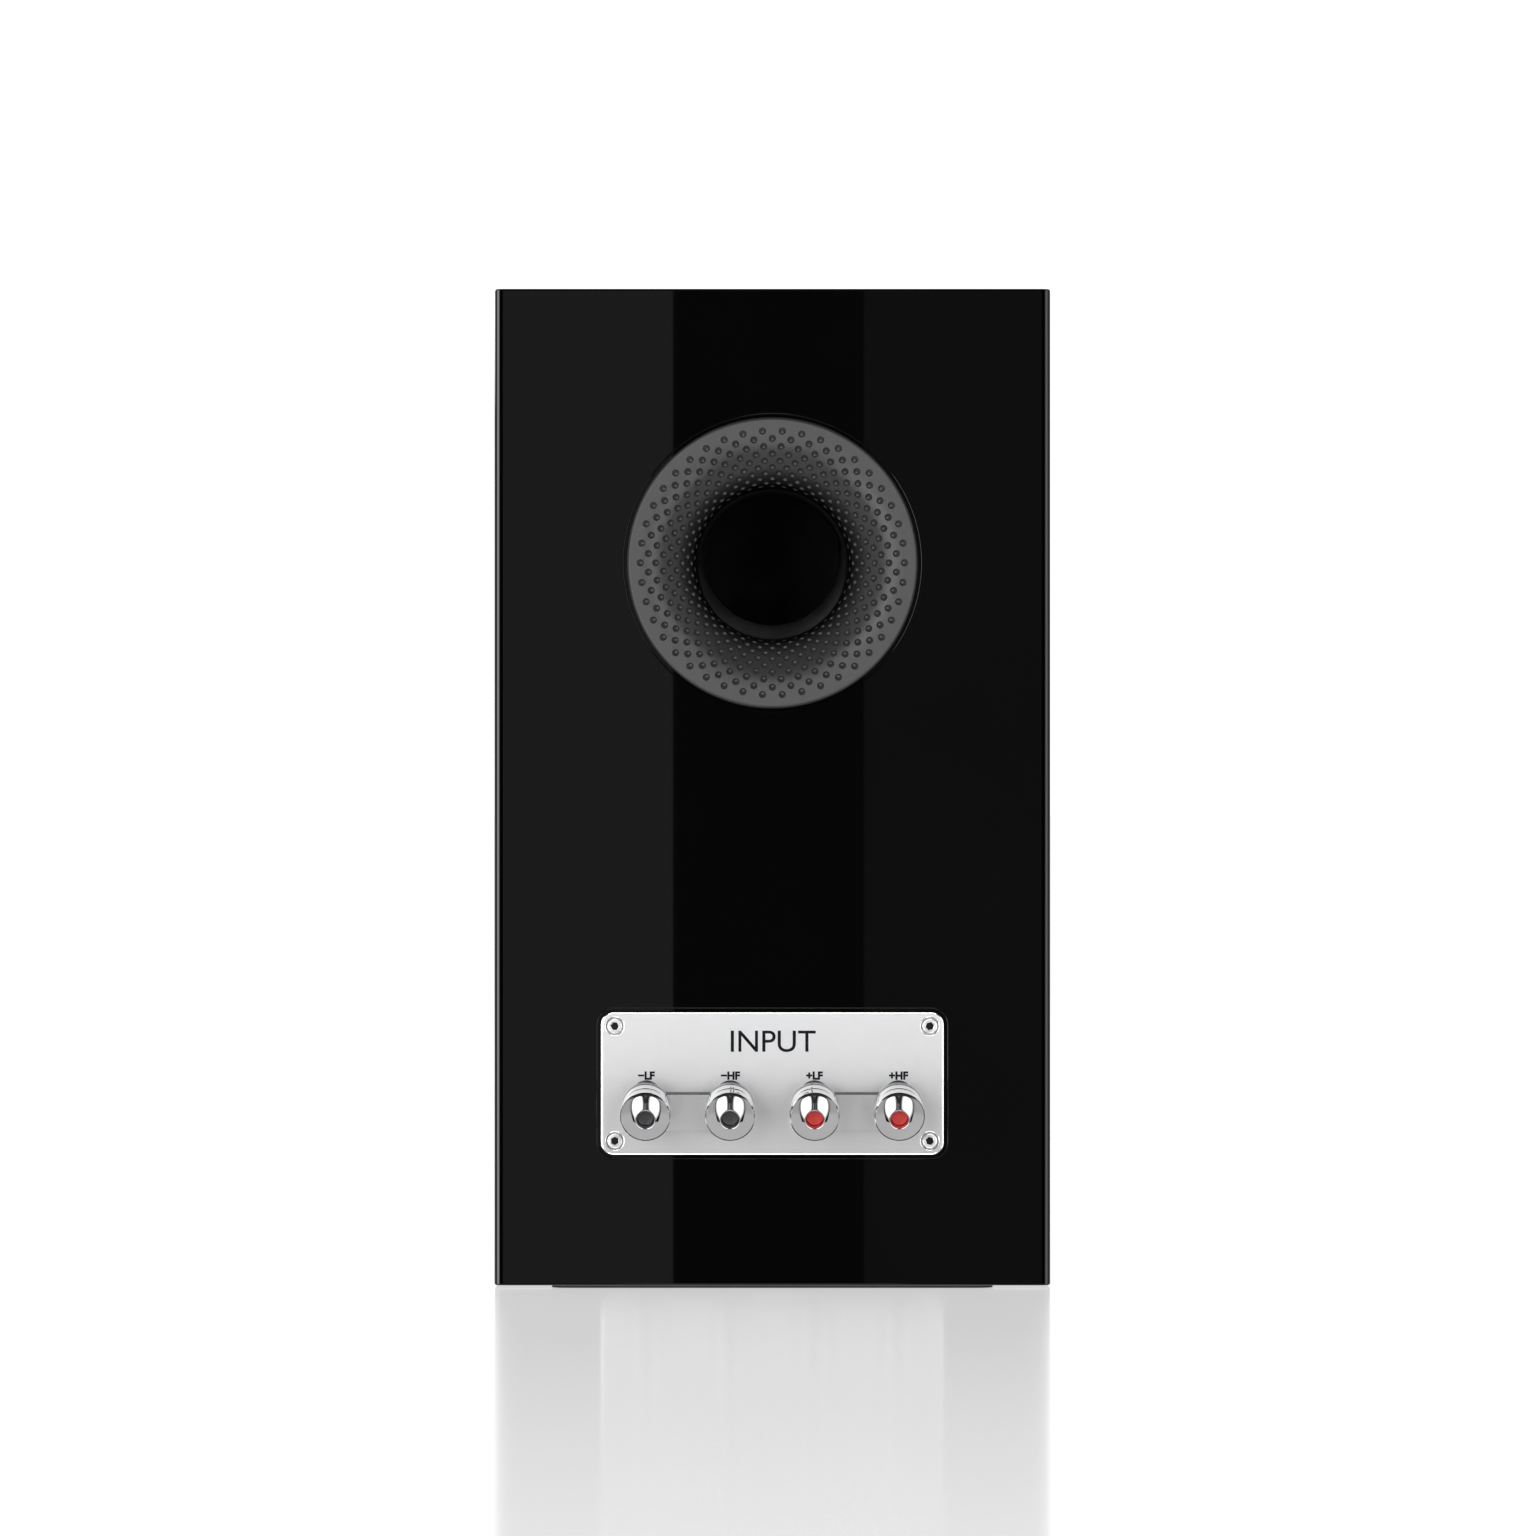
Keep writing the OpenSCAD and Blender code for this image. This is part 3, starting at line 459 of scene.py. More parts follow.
def port_plastic():
    """Moulded black plastic with a slight sheen, and painted shade that darkens it down the throat."""
    s = Surface("port_plastic").set(IOR=PORT_IOR)
    # Painted shade: the colour falls to a tenth of its tone with depth below the rear face
    throat = s.remap(s.place_along("Y"), 1.0, 0.0, REAR_Y - PORT_SHADE_FULL_DEPTH, REAR_Y - PORT_SHADE_START_DEPTH)
    s.colour(s.mix(throat, PORT_TONE, tinted(PORT_TONE, 0.1)))
    s.uneven_gloss(120.0, 5.0, PORT_ROUGH - 0.03, PORT_ROUGH + 0.03)
    s.bump(s.noise(2600.0, 2.0), 0.008, 0.4)
    return s.material


def plug_plastic(name, colour):
    return plain_surface(name, colour, 0.42, 0.0, 0.06, 3000.0, 0.01).material


def ink():
    return plain_surface(
        "printed_ink", (0.006, 0.006, 0.007), 0.6, 0.0, 0.1, 4000.0, 0.004, Specular_IOR_Level=0.15).material


def rubber(name, colour, roughness=0.55):
    return plain_surface(name, colour, roughness, 0.0, 0.1, 2200.0, 0.03).material


def painted(name, colour, roughness=0.5):
    return plain_surface(name, colour, roughness, 0.0, 0.08, 1500.0, 0.03).material


def steel(name, colour, roughness=0.32):
    s = plain_surface(name, colour, roughness, 1.0, 0.06, 1500.0, 0.01)
    s.bump(s.noise((200.0, 3000.0, 200.0), 2.0), 0.006, 0.3)
    return s.material


def socket_steel():
    """Bright steel, with painted shade blackening the bottom of the hexagon sockets."""
    s = Surface("socket_steel").set(Metallic=1.0)
    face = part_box("terminal_screws")[1].y
    out_of_painted_shade = s.remap(s.place_along("Y"), 0.0, 1.0, face - 0.7 * MM, face - 0.3 * MM)
    patches = s.mottled(60.0, 3.0, (0.90, 0.90, 0.90), (0.96, 0.96, 0.96))
    # Painted shade: black from 0.3 to 0.7 mm below the head's face and deeper
    s.colour(s.mix(out_of_painted_shade, (0.03, 0.03, 0.03), patches))
    s.uneven_gloss(400.0, 4.0, 0.30, 0.38)
    s.bump(s.noise(2500.0, 2.0), 0.004, 0.3)
    return s.material


def fibre_cone():
    """Pressed black fibre, with loose strands under a thin coat."""
    s = Surface("fibre_cone").set(Sheen_Weight=0.15)
    strands = s.noise((1500.0, 400.0, 260.0), 6.0, 0.7)
    s.colour(s.mix(s.remap(strands, 0, 1, 0.35, 0.75), (0.010, 0.010, 0.011), (0.035, 0.035, 0.038)))
    s.uneven_gloss(300.0, 5.0, 0.5, 0.72)
    s.bump(strands, 0.15, 0.7)
    return s.material


def woven(name, light, dark, per_mm):
    """Cloth: two sets of threads across each other."""
    s = Surface(name).set(Sheen_Weight=0.25, Roughness=0.85)
    pitch = per_mm / MM * 0.32
    threads = s.node("Math", operation="MAXIMUM")
    s.wire(s.ridges(pitch, "X"), threads.inputs[0])
    s.wire(s.ridges(pitch, "Z"), threads.inputs[1])
    s.colour(s.mix(threads.outputs[0], dark, light))
    s.uneven_gloss(200.0, 4.0, 0.75, 0.95)
    s.bump(threads.outputs[0], 0.12, 0.8)
    return s.material


def foam():
    s = Surface("open_cell_foam").set(Sheen_Weight=0.2)
    cells = s.node("TexVoronoi")
    s.wire(s.scaled(900.0), cells.inputs["Vector"])
    cells.inputs["Scale"].default_value = 1.0
    s.colour(s.mix(cells.outputs["Distance"], (0.03, 0.03, 0.033), (0.11, 0.11, 0.12)))
    s.uneven_gloss(100.0, 3.0, 0.85, 1.0)
    s.bump(cells.outputs["Distance"], 0.5, 0.8)
    return s.material


def fibreboard():
    s = Surface("raw_fibreboard")
    flecks = s.noise((700.0, 700.0, 1800.0), 8.0, 0.75)
    s.colour(s.mix(s.remap(flecks, 0, 1), (0.30, 0.19, 0.10), (0.52, 0.37, 0.22)))
    s.uneven_gloss(90.0, 4.0, 0.7, 0.9)
    s.bump(flecks, 0.08, 0.5)
    return s.material


def circuit_board():
    s = Surface("circuit_board")
    tracks = s.node("TexBrick")
    tracks.inputs["Scale"].default_value = 1.0
    tracks.inputs["Mortar Size"].default_value = 0.06
    s.wire(s.scaled(120.0), tracks.inputs["Vector"])
    s.colour(s.mix(tracks.outputs["Fac"], (0.06, 0.028, 0.01), (0.13, 0.062, 0.022)))
    s.uneven_gloss(80.0, 3.0, 0.3, 0.45)
    s.bump(tracks.outputs["Fac"], 0.04, 0.5)
    return s.material


def winding(name, colour, direction):
    """Enamelled wire, laid turn beside turn."""
    s = Surface(name).set(Metallic=0.9)
    turns = s.ridges(380.0, direction)
    s.colour(s.mix(turns, tinted(colour, 0.45), colour))
    s.uneven_gloss(300.0, 3.0, 0.24, 0.4)
    s.bump(turns, 0.25, 0.9)
    return s.material


def floor_material():
    """Pale studio floor: matt white under a faint polish that smears reflections along the view."""
    material = bpy.data.materials.new("studio_floor")
    material.use_nodes = True
    tree = material.node_tree
    tree.nodes.clear()

    def add(kind, **values):
        node = tree.nodes.new("ShaderNode" + kind)
        for key, value in values.items():
            node.inputs[key].default_value = value
        return node

    matt = add("BsdfDiffuse", Color=(FLOOR_MATT, FLOOR_MATT, FLOOR_MATT, 1))
    glow = add("Emission", Strength=FLOOR_GLOW)
    polish = add("BsdfAnisotropic", Roughness=FLOOR_POLISH, Anisotropy=FLOOR_SMEAR, Color=(1, 1, 1, 1))
    polish.distribution = "MULTI_GGX"
    across_view = add("CombineXYZ", X=1.0, Y=0.0, Z=0.0)
    distance = tree.nodes.new("ShaderNodeVectorMath")
    distance.operation = "LENGTH"
    near = add("MapRange", **{
        "From Min": FLOOR_MIRROR_REACH, "From Max": 2 * FLOOR_MIRROR_REACH,
        "To Min": 1.0, "To Max": 0.0})
    share = tree.nodes.new("ShaderNodeMath")
    share.operation = "MULTIPLY"
    spot = tree.nodes.new("ShaderNodeTexCoord").outputs["Object"]
    base = add("AddShader")
    blend = add("MixShader")
    place = tree.nodes.new("ShaderNodeSeparateXYZ")
    fade = add("MapRange", **{
        "From Min": REAR_Y, "From Max": REAR_Y + 1.0,
        "To Min": FLOOR_MIRROR_NEAR, "To Max": FLOOR_MIRROR_FAR})
    out = tree.nodes.new("ShaderNodeOutputMaterial")
    for source, target in (
        (spot, place.inputs[0]),
        (spot, distance.inputs[0]),
        (place.outputs["Y"], fade.inputs["Value"]),
        (distance.outputs["Value"], near.inputs["Value"]),
        (fade.outputs["Result"], share.inputs[0]),
        (near.outputs["Result"], share.inputs[1]),
        (share.outputs[0], blend.inputs[0]),
        (across_view.outputs[0], polish.inputs["Tangent"]),
        (matt.outputs[0], base.inputs[0]),
        (glow.outputs[0], base.inputs[1]),
        (base.outputs[0], blend.inputs[1]),
        (polish.outputs[0], blend.inputs[2]),
        (blend.outputs[0], out.inputs["Surface"]),
    ):
        tree.links.new(source, target)
    return material


FLOOR_MATT = 0.25
FLOOR_GLOW = 1.0
FLOOR_POLISH = 0.17
FLOOR_SMEAR = 0.75
FLOOR_MIRROR_NEAR = 0.48
FLOOR_MIRROR_FAR = 0.53
FLOOR_MIRROR_REACH = 1.4

PLATE_TONE = (0.78, 0.78, 0.79)
# Share of the plate's tone left at its foot by the painted shade
PLATE_FOOT_SHADE = 0.76
PLATE_EDGE = 1.0
PLATE_CORNER_R = 4.5
SCREW_HEAD_R = 2.6
PORT_TONE = (0.020, 0.0203, 0.021)
PORT_ROUGH = 0.30
PORT_IOR = 1.58
# Depths below the rear face where the port's painted shade starts and where it is full
PORT_SHADE_START_DEPTH = 0.004
PORT_SHADE_FULL_DEPTH = 0.013

LACQUER = lacquer()
CHROME = chrome("polished_chrome", (0.80, 0.80, 0.81), (0.86, 0.86, 0.86), 0.035, 0.09)
# Painted shade: a darker copy of the chrome for the clamp washers, which look darker than the knobs in front
# of them
SHADED_CHROME = chrome("painted_shade_chrome", (0.26, 0.26, 0.265), (0.32, 0.32, 0.325), 0.08, 0.14)
PLATE = anodised_plate()
LINK = link_plate_metal()
PORT = port_plastic()
PLUG_GREY = plug_plastic("plug_grey", (0.045, 0.045, 0.05))
PLUG_RED = plug_plastic("plug_red", (0.62, 0.035, 0.03))
INK = ink()
PAD_RUBBER = rubber("pad_rubber", (0.045, 0.045, 0.047), 0.7)
SURROUND_RUBBER = rubber("surround_rubber", (0.014, 0.014, 0.015), 0.42)
BLACK_PLASTIC = painted("black_plastic", (0.016, 0.016, 0.017), 0.55)
FRAME_PAINT = painted("frame_paint", (0.022, 0.022, 0.024), 0.5)
TRIM = steel("dark_anodised", (0.075, 0.076, 0.08), 0.36)
SOCKET_STEEL = socket_steel()
ZINC = steel("zinc_plate", (0.50, 0.51, 0.53), 0.34)
BLACK_STEEL = steel("black_oxide", (0.10, 0.10, 0.105), 0.38)
BRASS = steel("plated_brass", (0.80, 0.60, 0.28), 0.24)
FERRITE = painted("sintered_ferrite", (0.035, 0.035, 0.037), 0.62)
CONE = fibre_cone()
DOME_CLOTH = woven("dome_cloth", (0.035, 0.035, 0.038), (0.012, 0.012, 0.013), 4.0)
SPIDER_CLOTH = woven("spider_cloth", (0.50, 0.33, 0.09), (0.24, 0.14, 0.03), 1.8)
FOAM = foam()
GASKET = rubber("gasket_foam", (0.012, 0.012, 0.013), 0.9)
BOARD = fibreboard()
CIRCUIT = circuit_board()
COPPER = winding("copper_winding", (0.72, 0.32, 0.13), "Z")
VOICE_WIRE = winding("voice_coil_winding", (0.72, 0.32, 0.13), "Y")
FILM = plain_surface("film_wrap", (0.62, 0.42, 0.05), 0.3, 0.0, 0.08, 500.0, 0.02, Coat_Weight=0.3).material
CERAMIC = painted("white_ceramic", (0.72, 0.70, 0.64), 0.6)
WIRE_RED = rubber("wire_red", (0.45, 0.03, 0.03), 0.45)
WIRE_BLACK = rubber("wire_black", (0.02, 0.02, 0.02), 0.45)


def wear(obj, material):
    obj.data.materials.clear()
    obj.data.materials.append(material)
    return obj


def stand_for(obj, material, slot, body, *replaced):
    """Finishes a piece: its material, the body that carries it, and the CAD nodes that it stands for."""
    wear(obj, material)
    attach(obj, body)
    if replaced:
        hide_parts(*replaced)
    return obj


# ---- Cabinet ----

def cabinet_plan(inset, w, d, front_r, rear_r):
    """The cabinet from above, in millimetres, drawn in by inset. Y runs from the front to the rear."""
    x, y0, y1 = w / 2 - inset, FRONT_Y / MM + inset, FRONT_Y / MM + d - inset
    return rounded([
        (-x, y0, front_r - inset), (x, y0, front_r - inset),
        (x, y1, rear_r - inset), (-x, y1, rear_r - inset),
    ], steps=10)


def mouth_cutter(name, outline_at, depth, lip, place):
    """A recess whose rim is rounded by lip. outline_at(grow) gives the outline drawn outwards by grow."""
    bm = bmesh.new()
    steps = 4
    loops = [lifted(outline_at(0), -depth)]
    for k in range(steps + 1):
        a = math.pi / 2 * k / steps
        loops.append(lifted(outline_at(lip * (1 - math.cos(a))), lip * (math.sin(a) - 1)))
    loops.append(lifted(outline_at(lip), 2))
    stack(bm, loops)
    return to_object(name, bm, place)


def circle_outline(r, count=128):
    return lambda grow: circle(r + grow, count)


def drill(name, r, z0, z1, place, segments=96):
    return lathe(name, [(0, z0), (r, z0), (r, z1), (0, z1)], place, segments, closed=False)


def lacquered_cabinet():
    """The six lacquered panels as one seamless skin, hollow, with the real openings cut through it."""
    low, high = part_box("front_baffle")
    w = (high.x - low.x) / MM
    d = (REAR_Y - FRONT_Y) / MM
    bm = bmesh.new()
    front_edge_r, rear_edge_r, level_edge_r = 8.0, 3.0, 0.7
    slab(
        bm, lambda inset: cabinet_plan(inset, w, d, front_edge_r, rear_edge_r),
        low.z / MM, high.z / MM, level_edge_r, 4)
    body = to_object("lacquered_cabinet", bm)

    inner_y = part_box("rear_panel")[0].y
    hollow_low = Vector((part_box("left_side_panel")[1].x, high.y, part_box("bottom_panel")[1].z))
    hollow_high = Vector((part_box("right_side_panel")[0].x, inner_y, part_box("top_panel")[0].z))
    hollow = bmesh.new()
    bmesh.ops.create_cube(hollow, size=1.0)
    extent = (hollow_high - hollow_low) / MM
    centre = (hollow_high + hollow_low) / 2
    cutters = [to_object("hollow", hollow, Matrix.Translation(centre) @ Matrix.Diagonal((*extent, 1)))]

    wall = (REAR_Y - inner_y) / MM
    seat, lip, gap = 3.5, 0.45, 1.0
    port = middle("port_flare")
    port_place = facing_rear(port.x, REAR_Y, port.z)
    cutters.append(mouth_cutter("port_recess", circle_outline(FLANGE_R + gap), seat, lip, port_place))
    cutters.append(drill("port_hole", FLANGE_R - 8.8, -wall - 2, 2, port_place))

    plate = middle("terminal_plate")
    plate_size = size_mm("terminal_plate")
    plate_place = facing_rear(plate.x, REAR_Y, plate.z)
    plate_w, plate_h, corner_r = plate_size.x + 2 * gap, plate_size.z + 2 * gap, PLATE_CORNER_R + gap
    cutters.append(mouth_cutter(
        "plate_recess",
        lambda grow: rounded_box(plate_w + 2 * grow, plate_h + 2 * grow, corner_r + grow, 10),
        seat, lip, plate_place))
    opening = bmesh.new()
    stack(opening, [lifted(rounded_box(102, 30, 4.5), z) for z in (-wall - 2, 2)])
    cutters.append(to_object("terminal_opening", opening, plate_place))

    baffle = (high.y - FRONT_Y) / MM
    for node, rebate_r, rebate, hole_r in (
        ("woofer_trim_ring", 86.5, 6.0, 74.0), ("tweeter_faceplate", 52.5, 5.0, 38.0),
    ):
        place = facing_front(node)
        cutters.append(mouth_cutter(node + "_rebate", circle_outline(rebate_r), rebate, 0.4, place))
        cutters.append(drill(node + "_hole", hole_r, -baffle - 2, 2, place))

    insert_low, insert_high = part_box("stand_inserts")
    insert_r = 4.5
    deep = size_mm("stand_inserts").z
    for x in (insert_low.x + insert_r * MM, insert_high.x - insert_r * MM):
        for y in (insert_low.y + insert_r * MM, insert_high.y - insert_r * MM):
            place = Matrix.Translation((x, y, insert_low.z))
            cutters.append(drill("insert_hole", insert_r, -2, deep, place, 48))
    cut(body, cutters)
    fence_flats(body)
    return stand_for(
        body, LACQUER, "cabinet_lacquer", "cabinet",
        "left_side_panel", "right_side_panel", "top_panel", "bottom_panel", "rear_panel", "front_baffle",
    )


# ---- Reflex port ----

FLANGE_R = size_mm("port_flare").x / 2
DIMPLES_PER_RING = 42
DIMPLE_ROWS = 10
DIMPLE_PITCH = 2.7
DIMPLE_R = 1.24
DIMPLE_DEPTH = 0.95
# How far the deepest point of the outermost pits lies towards the port's axis
DIMPLE_LEAN = 0.5


def dimpled_flare():
    """The port's mouth, its curve set with rings of round dimples, each half a step round from the last."""
    port = middle("port_flare")
    place = facing_rear(port.x, REAR_Y, port.z)
    proud = (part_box("port_flare")[1].y - REAR_Y) / MM
    curve_r = 20.0
    curve_centre_r = FLANGE_R - 4.3
    throat_r = curve_centre_r - curve_r
    centre_z = proud - curve_r
    first_row_u = -0.95
    side = 6

    def on_curve(u, a, sink):
        """A point u millimetres down the curve from the flange and a round it, sunk below the surface."""
        if u < 0:
            r, z, nr, nz = curve_centre_r - u, proud, 0.0, 1.0
        elif u < curve_r * math.pi / 2:
            f = u / curve_r
            nr, nz = -math.sin(f), math.cos(f)
            r, z = curve_centre_r + curve_r * nr, centre_z + curve_r * nz
        else:
            r, z, nr, nz = throat_r, centre_z - (u - curve_r * math.pi / 2), -1.0, 0.0
        r, z = r - sink * nr, z - sink * nz
        return (r * math.cos(a), r * math.sin(a), z)

    bm = bmesh.new()
    half = side // 2
    columns = DIMPLES_PER_RING * side
    shared = {}

    def corner(row_edge, column):
        """A vertex on the border of a cell, shared with the cells beside it."""
        key = (row_edge, column % columns)
        if key not in shared:
            u = first_row_u + row_edge / side * DIMPLE_PITCH
            shared[key] = bm.verts.new(on_curve(u, TURN * (column % columns) / columns, 0))
        return shared[key]

    for row in range(DIMPLE_ROWS):
        shift = half if row % 2 else 0
        mid_u = first_row_u + (row + 0.5) * DIMPLE_PITCH
        local_r = math.hypot(*on_curve(mid_u, 0, 0)[:2])
        lean = DIMPLE_LEAN * (1 - row / DIMPLE_ROWS)
        depth = DIMPLE_DEPTH * min(1.0, 1.3 - (row / DIMPLE_ROWS) ** 3)
        for cell in range(DIMPLES_PER_RING):
            left = cell * side + shift - half
            top, bottom = row * side, (row + 1) * side
            border = [(top, left + k) for k in range(side)]
            border += [(top + k, left + side) for k in range(side)]
            border += [(bottom, left + side - k) for k in range(side)]
            border += [(bottom - k, left) for k in range(side)]
            outer = [corner(e, c) for e, c in border]
            mid_a = TURN * (left + half) / columns
            rings = [outer]
            for share in (1.0, 0.94, 0.84, 0.70, 0.52, 0.28):
                bowl = (1 - share ** 2) ** 0.75
                ring = []
                for e, c in border:
                    du = (e - (top + half)) / side
                    da = (c - (left + half)) / side
                    spin = math.atan2(du, da)
                    r = DIMPLE_R * share
                    ring.append(bm.verts.new(on_curve(
                        mid_u + r * math.sin(spin) + lean * bowl, mid_a + r * math.cos(spin) / local_r,
                        depth * bowl)))
                rings.append(ring)
            for a, b in zip(rings, rings[1:]):
                bridge(bm, a, b)
            pit = bm.verts.new(on_curve(mid_u + lean, mid_a, depth))
            for k in range(len(rings[-1])):
                bm.faces.new((rings[-1][k], rings[-1][(k + 1) % len(rings[-1])], pit))

    first_edge = [corner(0, c) for c in range(columns)]
    last_edge = [corner(DIMPLE_ROWS * side, c) for c in range(columns)]
    end_u = first_row_u + DIMPLE_ROWS * DIMPLE_PITCH

    def band(start_ring, profile):
        ring = start_ring
        for r, z in profile:
            following = [bm.verts.new(p) for p in lifted(circle(r, columns), z)]
            bridge(bm, ring, following)
            ring = following
        return ring

    back_z = proud - 3.0
    rim = [(FLANGE_R - 1.5, proud)] + arc(FLANGE_R - 1.2, proud - 1.2, 1.2, 90, 0, 8)
    rim += [(FLANGE_R, back_z), (curve_centre_r, back_z)]
    rim += arc(curve_centre_r, centre_z, curve_r - 3, 100, 160, 8)
    socket = socket_span()
    rim += [(throat_r + 5.2, centre_z + 2.0), (throat_r + 5.2, socket[0]), (throat_r + 3.0, socket[0])]
    rim += [(throat_r + 3.0, socket[1])]
    outside = band(first_edge, rim)
    smooth_u = curve_r * math.pi / 2 + 1 - end_u
    throat = [on_curve(end_u + smooth_u * k / 6, 0, 0) for k in range(1, 7)]
    inner = [(p[0], p[2]) for p in throat] + [(throat_r, socket[1])]
    bridge(bm, outside, band(last_edge, inner))
    flare = to_object("dimpled_port_flare", bm, place, 28)
    return stand_for(flare, PORT, "port_plastic", "cabinet", "port_flare")


def socket_span():
    """The far end and the floor of the socket that holds the port tube, from the rear face."""
    return ((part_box("port_flare")[0].y - REAR_Y) / MM, (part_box("port_tube")[1].y - REAR_Y) / MM)


# ---- Terminals ----

def knob_profile(place, node):
    """The knob's outline: collar, groove, barrel and domed end, then the plug hole."""
    back = span_along(node, place)[0]
    r = widest_round(node, place)
    collar_r, groove_r, bore_r = 8.1, 7.1, 3.05
    hole_r, dome_r, shoulder_r = 3.1, 14.0, 2.0
    collar, groove = 4.4, 1.1
    dome_centre = back + 14.1 - dome_r
    shoulder_x = r - shoulder_r
    shoulder_z = dome_centre + math.sqrt((dome_r - shoulder_r) ** 2 - shoulder_x ** 2)
    meet = math.degrees(math.atan2(shoulder_z - dome_centre, shoulder_x))
    lip = math.degrees(math.acos((hole_r + 0.35) / dome_r))
    barrel = back + collar + groove
    lip_z = dome_centre + math.sqrt(dome_r ** 2 - (hole_r + 0.35) ** 2)
    profile = [(bore_r, back), (collar_r - 0.35, back)]
    profile += arc(collar_r - 0.35, back + 0.35, 0.35, -90, 0, 4)
    profile += arc(collar_r - 0.7, back + collar - 0.7, 0.7, 0, 90, 6)
    profile += arc(groove_r + 0.45, back + collar + 0.45, 0.45, 270, 180, 4)
    profile += arc(groove_r + 0.2, barrel - 0.2, 0.2, 180, 90, 3)
    profile += arc(r - 1.3, barrel + 1.3, 1.3, -90, 0, 8)
    profile += arc(shoulder_x, shoulder_z, shoulder_r, 0, meet, 10)
    profile += arc(0, dome_centre, dome_r, meet, lip, 12)[1:]
    profile += arc(hole_r + 0.35, lip_z - 0.35, 0.35, lip, 180, 5)[1:]
    stud_end = span_along("post_studs", place)[1]
    profile += [(hole_r, stud_end + 0.3), (bore_r, stud_end + 0.3)]
    return profile


def knob(post):
    place = along_post(post)
    piece = lathe(post + "_polished_knob", knob_profile(place, post + "_knob"), place, 112, sharp=50)
    return stand_for(piece, CHROME, "knob_chrome", post + "_knob", post + "_knob")


def washer(post):
    place = along_post(post)
    back, front = span_along(post + "_washer", place)
    r = widest_round(post + "_washer", place)
    edge = 0.5
    profile = [(3.05, back), (r - edge, back)]
    profile += arc(r - edge, back + edge, edge, -90, 0, 5)
    profile += arc(r - edge / 2, front - edge / 2, edge / 2, 0, 90, 4)
    profile += [(3.05, front)]
    piece = lathe(post + "_clamp_washer", profile, place, 96, sharp=40)
    # Painted shade: the washers wear the darker copy of the knobs' chrome
    return stand_for(piece, SHADED_CHROME, "knob_chrome", post + "_washer", post + "_washer")


def plug(post, material, slot):
    place = along_post(post)
    back, front = span_along(post + "_plug", place)
    head_r, nose_r, head_t = 3.05, 1.95, 2.2
    shoulder = front - head_t
    profile = [(0, back)] + arc(nose_r - 0.8, back + 0.8, 0.8, -90, 0, 5) + [(nose_r, shoulder)]
    profile += [(head_r, shoulder)] + arc(head_r - 0.4, front - 0.4, 0.4, 0, 90, 5)
    profile += [(head_r - 0.75, front - 0.18), (1.0, front - 0.22), (0, front - 0.22)]
    piece = lathe(post + "_safety_plug", profile, place, 72, closed=False, sharp=35)
    return stand_for(piece, material, slot, post + "_plug", post + "_plug")


def stud(post, index):
    """A stud with a turned thread where it shows behind the nuts."""
    place = along_post(post)
    back, front = span_along("post_studs", place)
    root, crest, pitch = 2.78, 3.0, 1.0
    profile = [(0, back), (root - 0.4, back), (root, back + 0.4)]
    z = back + 0.5
    while z < front - 1.5:
        profile += [(root, z), (crest, z + pitch * 0.45), (crest, z + pitch * 0.55)]
        z += pitch
    profile += [(root, front - 0.6), (root - 0.3, front), (2.0, front), (2.0, front - 12), (0, front - 12.8)]
    return lathe(f"stud_{index}", profile, place, 48, closed=False, sharp=20)


def join(name, objects):
    bm = bmesh.new()
    for obj in objects:
        bm.from_mesh(obj.data)
        bpy.data.objects.remove(obj)
    mesh = bpy.data.meshes.new(name)
    bm.to_mesh(mesh)
    bm.free()
    shade(mesh, 32)
    return link_in(name, mesh)


def link_plate(node, first, second):
    """A flat plate that hooks over two studs, with two slots open at its top edge."""
    place = along_post(first).lerp(along_post(second), 0.5)
    back, front = span_along(node, place)
    top, bottom = 3.5, -9.7
    half_pitch = (along_post(first).translation - along_post(second).translation).length / MM / 2
    half = half_pitch + 7.0
    slot = 3.2
    outline = [(-half, bottom, 1.5), (half, bottom, 1.5), (half, top, 1.5)]
    for x in (half_pitch, -half_pitch):
        outline += [(x + slot, top, 0.25), (x + slot, -slot, slot - 0.01), (x - slot, -slot, slot - 0.01),
                    (x - slot, top, 0.25)]
    outline.append((-half, top, 1.5))
    bm = bmesh.new()
    points = rounded(outline, steps=8)
    stack(bm, [lifted(points, z) for z in (back, front)])
    piece = to_object(node + "_plate", bm, place)
    soften(piece, 0.2, 3, 60)
    fence_flats(piece, 40, place.col[2].xyz)
    return stand_for(piece, LINK, "link_metal", node, node)


def hex_screw(name, place, head_r, head_h, socket_af, shank_r, shank_len):
    """A cap screw: round head with softened edges, a hexagon socket and a shank."""
    bm = bmesh.new()
    count = 48
    hexagon = []
    for k in range(count):
        a = TURN * k / count
        sector = (a + math.pi / 6) % (math.pi / 3) - math.pi / 6
        reach = socket_af / 2 / math.cos(sector)
        hexagon.append((reach * math.cos(a), reach * math.sin(a)))
    edge = head_r * 0.17
    profile = [(shank_r * 0.55, -head_h - shank_len), (shank_r, -head_h - shank_len + shank_r * 0.6)]
    profile += [(shank_r, -head_h), (head_r - 0.15, -head_h), (head_r, -head_h + 0.15)]
    profile += arc(head_r - edge, -edge, edge, 0, 90, 5)
    loops = [lifted(circle(r, count), z) for r, z in profile]
    rim = head_r * 0.07
    grow = 1 + rim / (socket_af / 2)
    loops.append([(x * grow, y * grow, 0) for x, y in hexagon])
    loops += [lifted(hexagon, -rim), lifted(hexagon, -head_h * 0.6)]
    stack(bm, loops)
    return to_object(name, bm, place, 30)


def screw_group(name, node, places, material, slot, **screw):
    made = [hex_screw(f"{name}_{i}", place, **screw) for i, place in enumerate(places)]
    stand_for(join(name, made), material, slot, "cabinet", node)


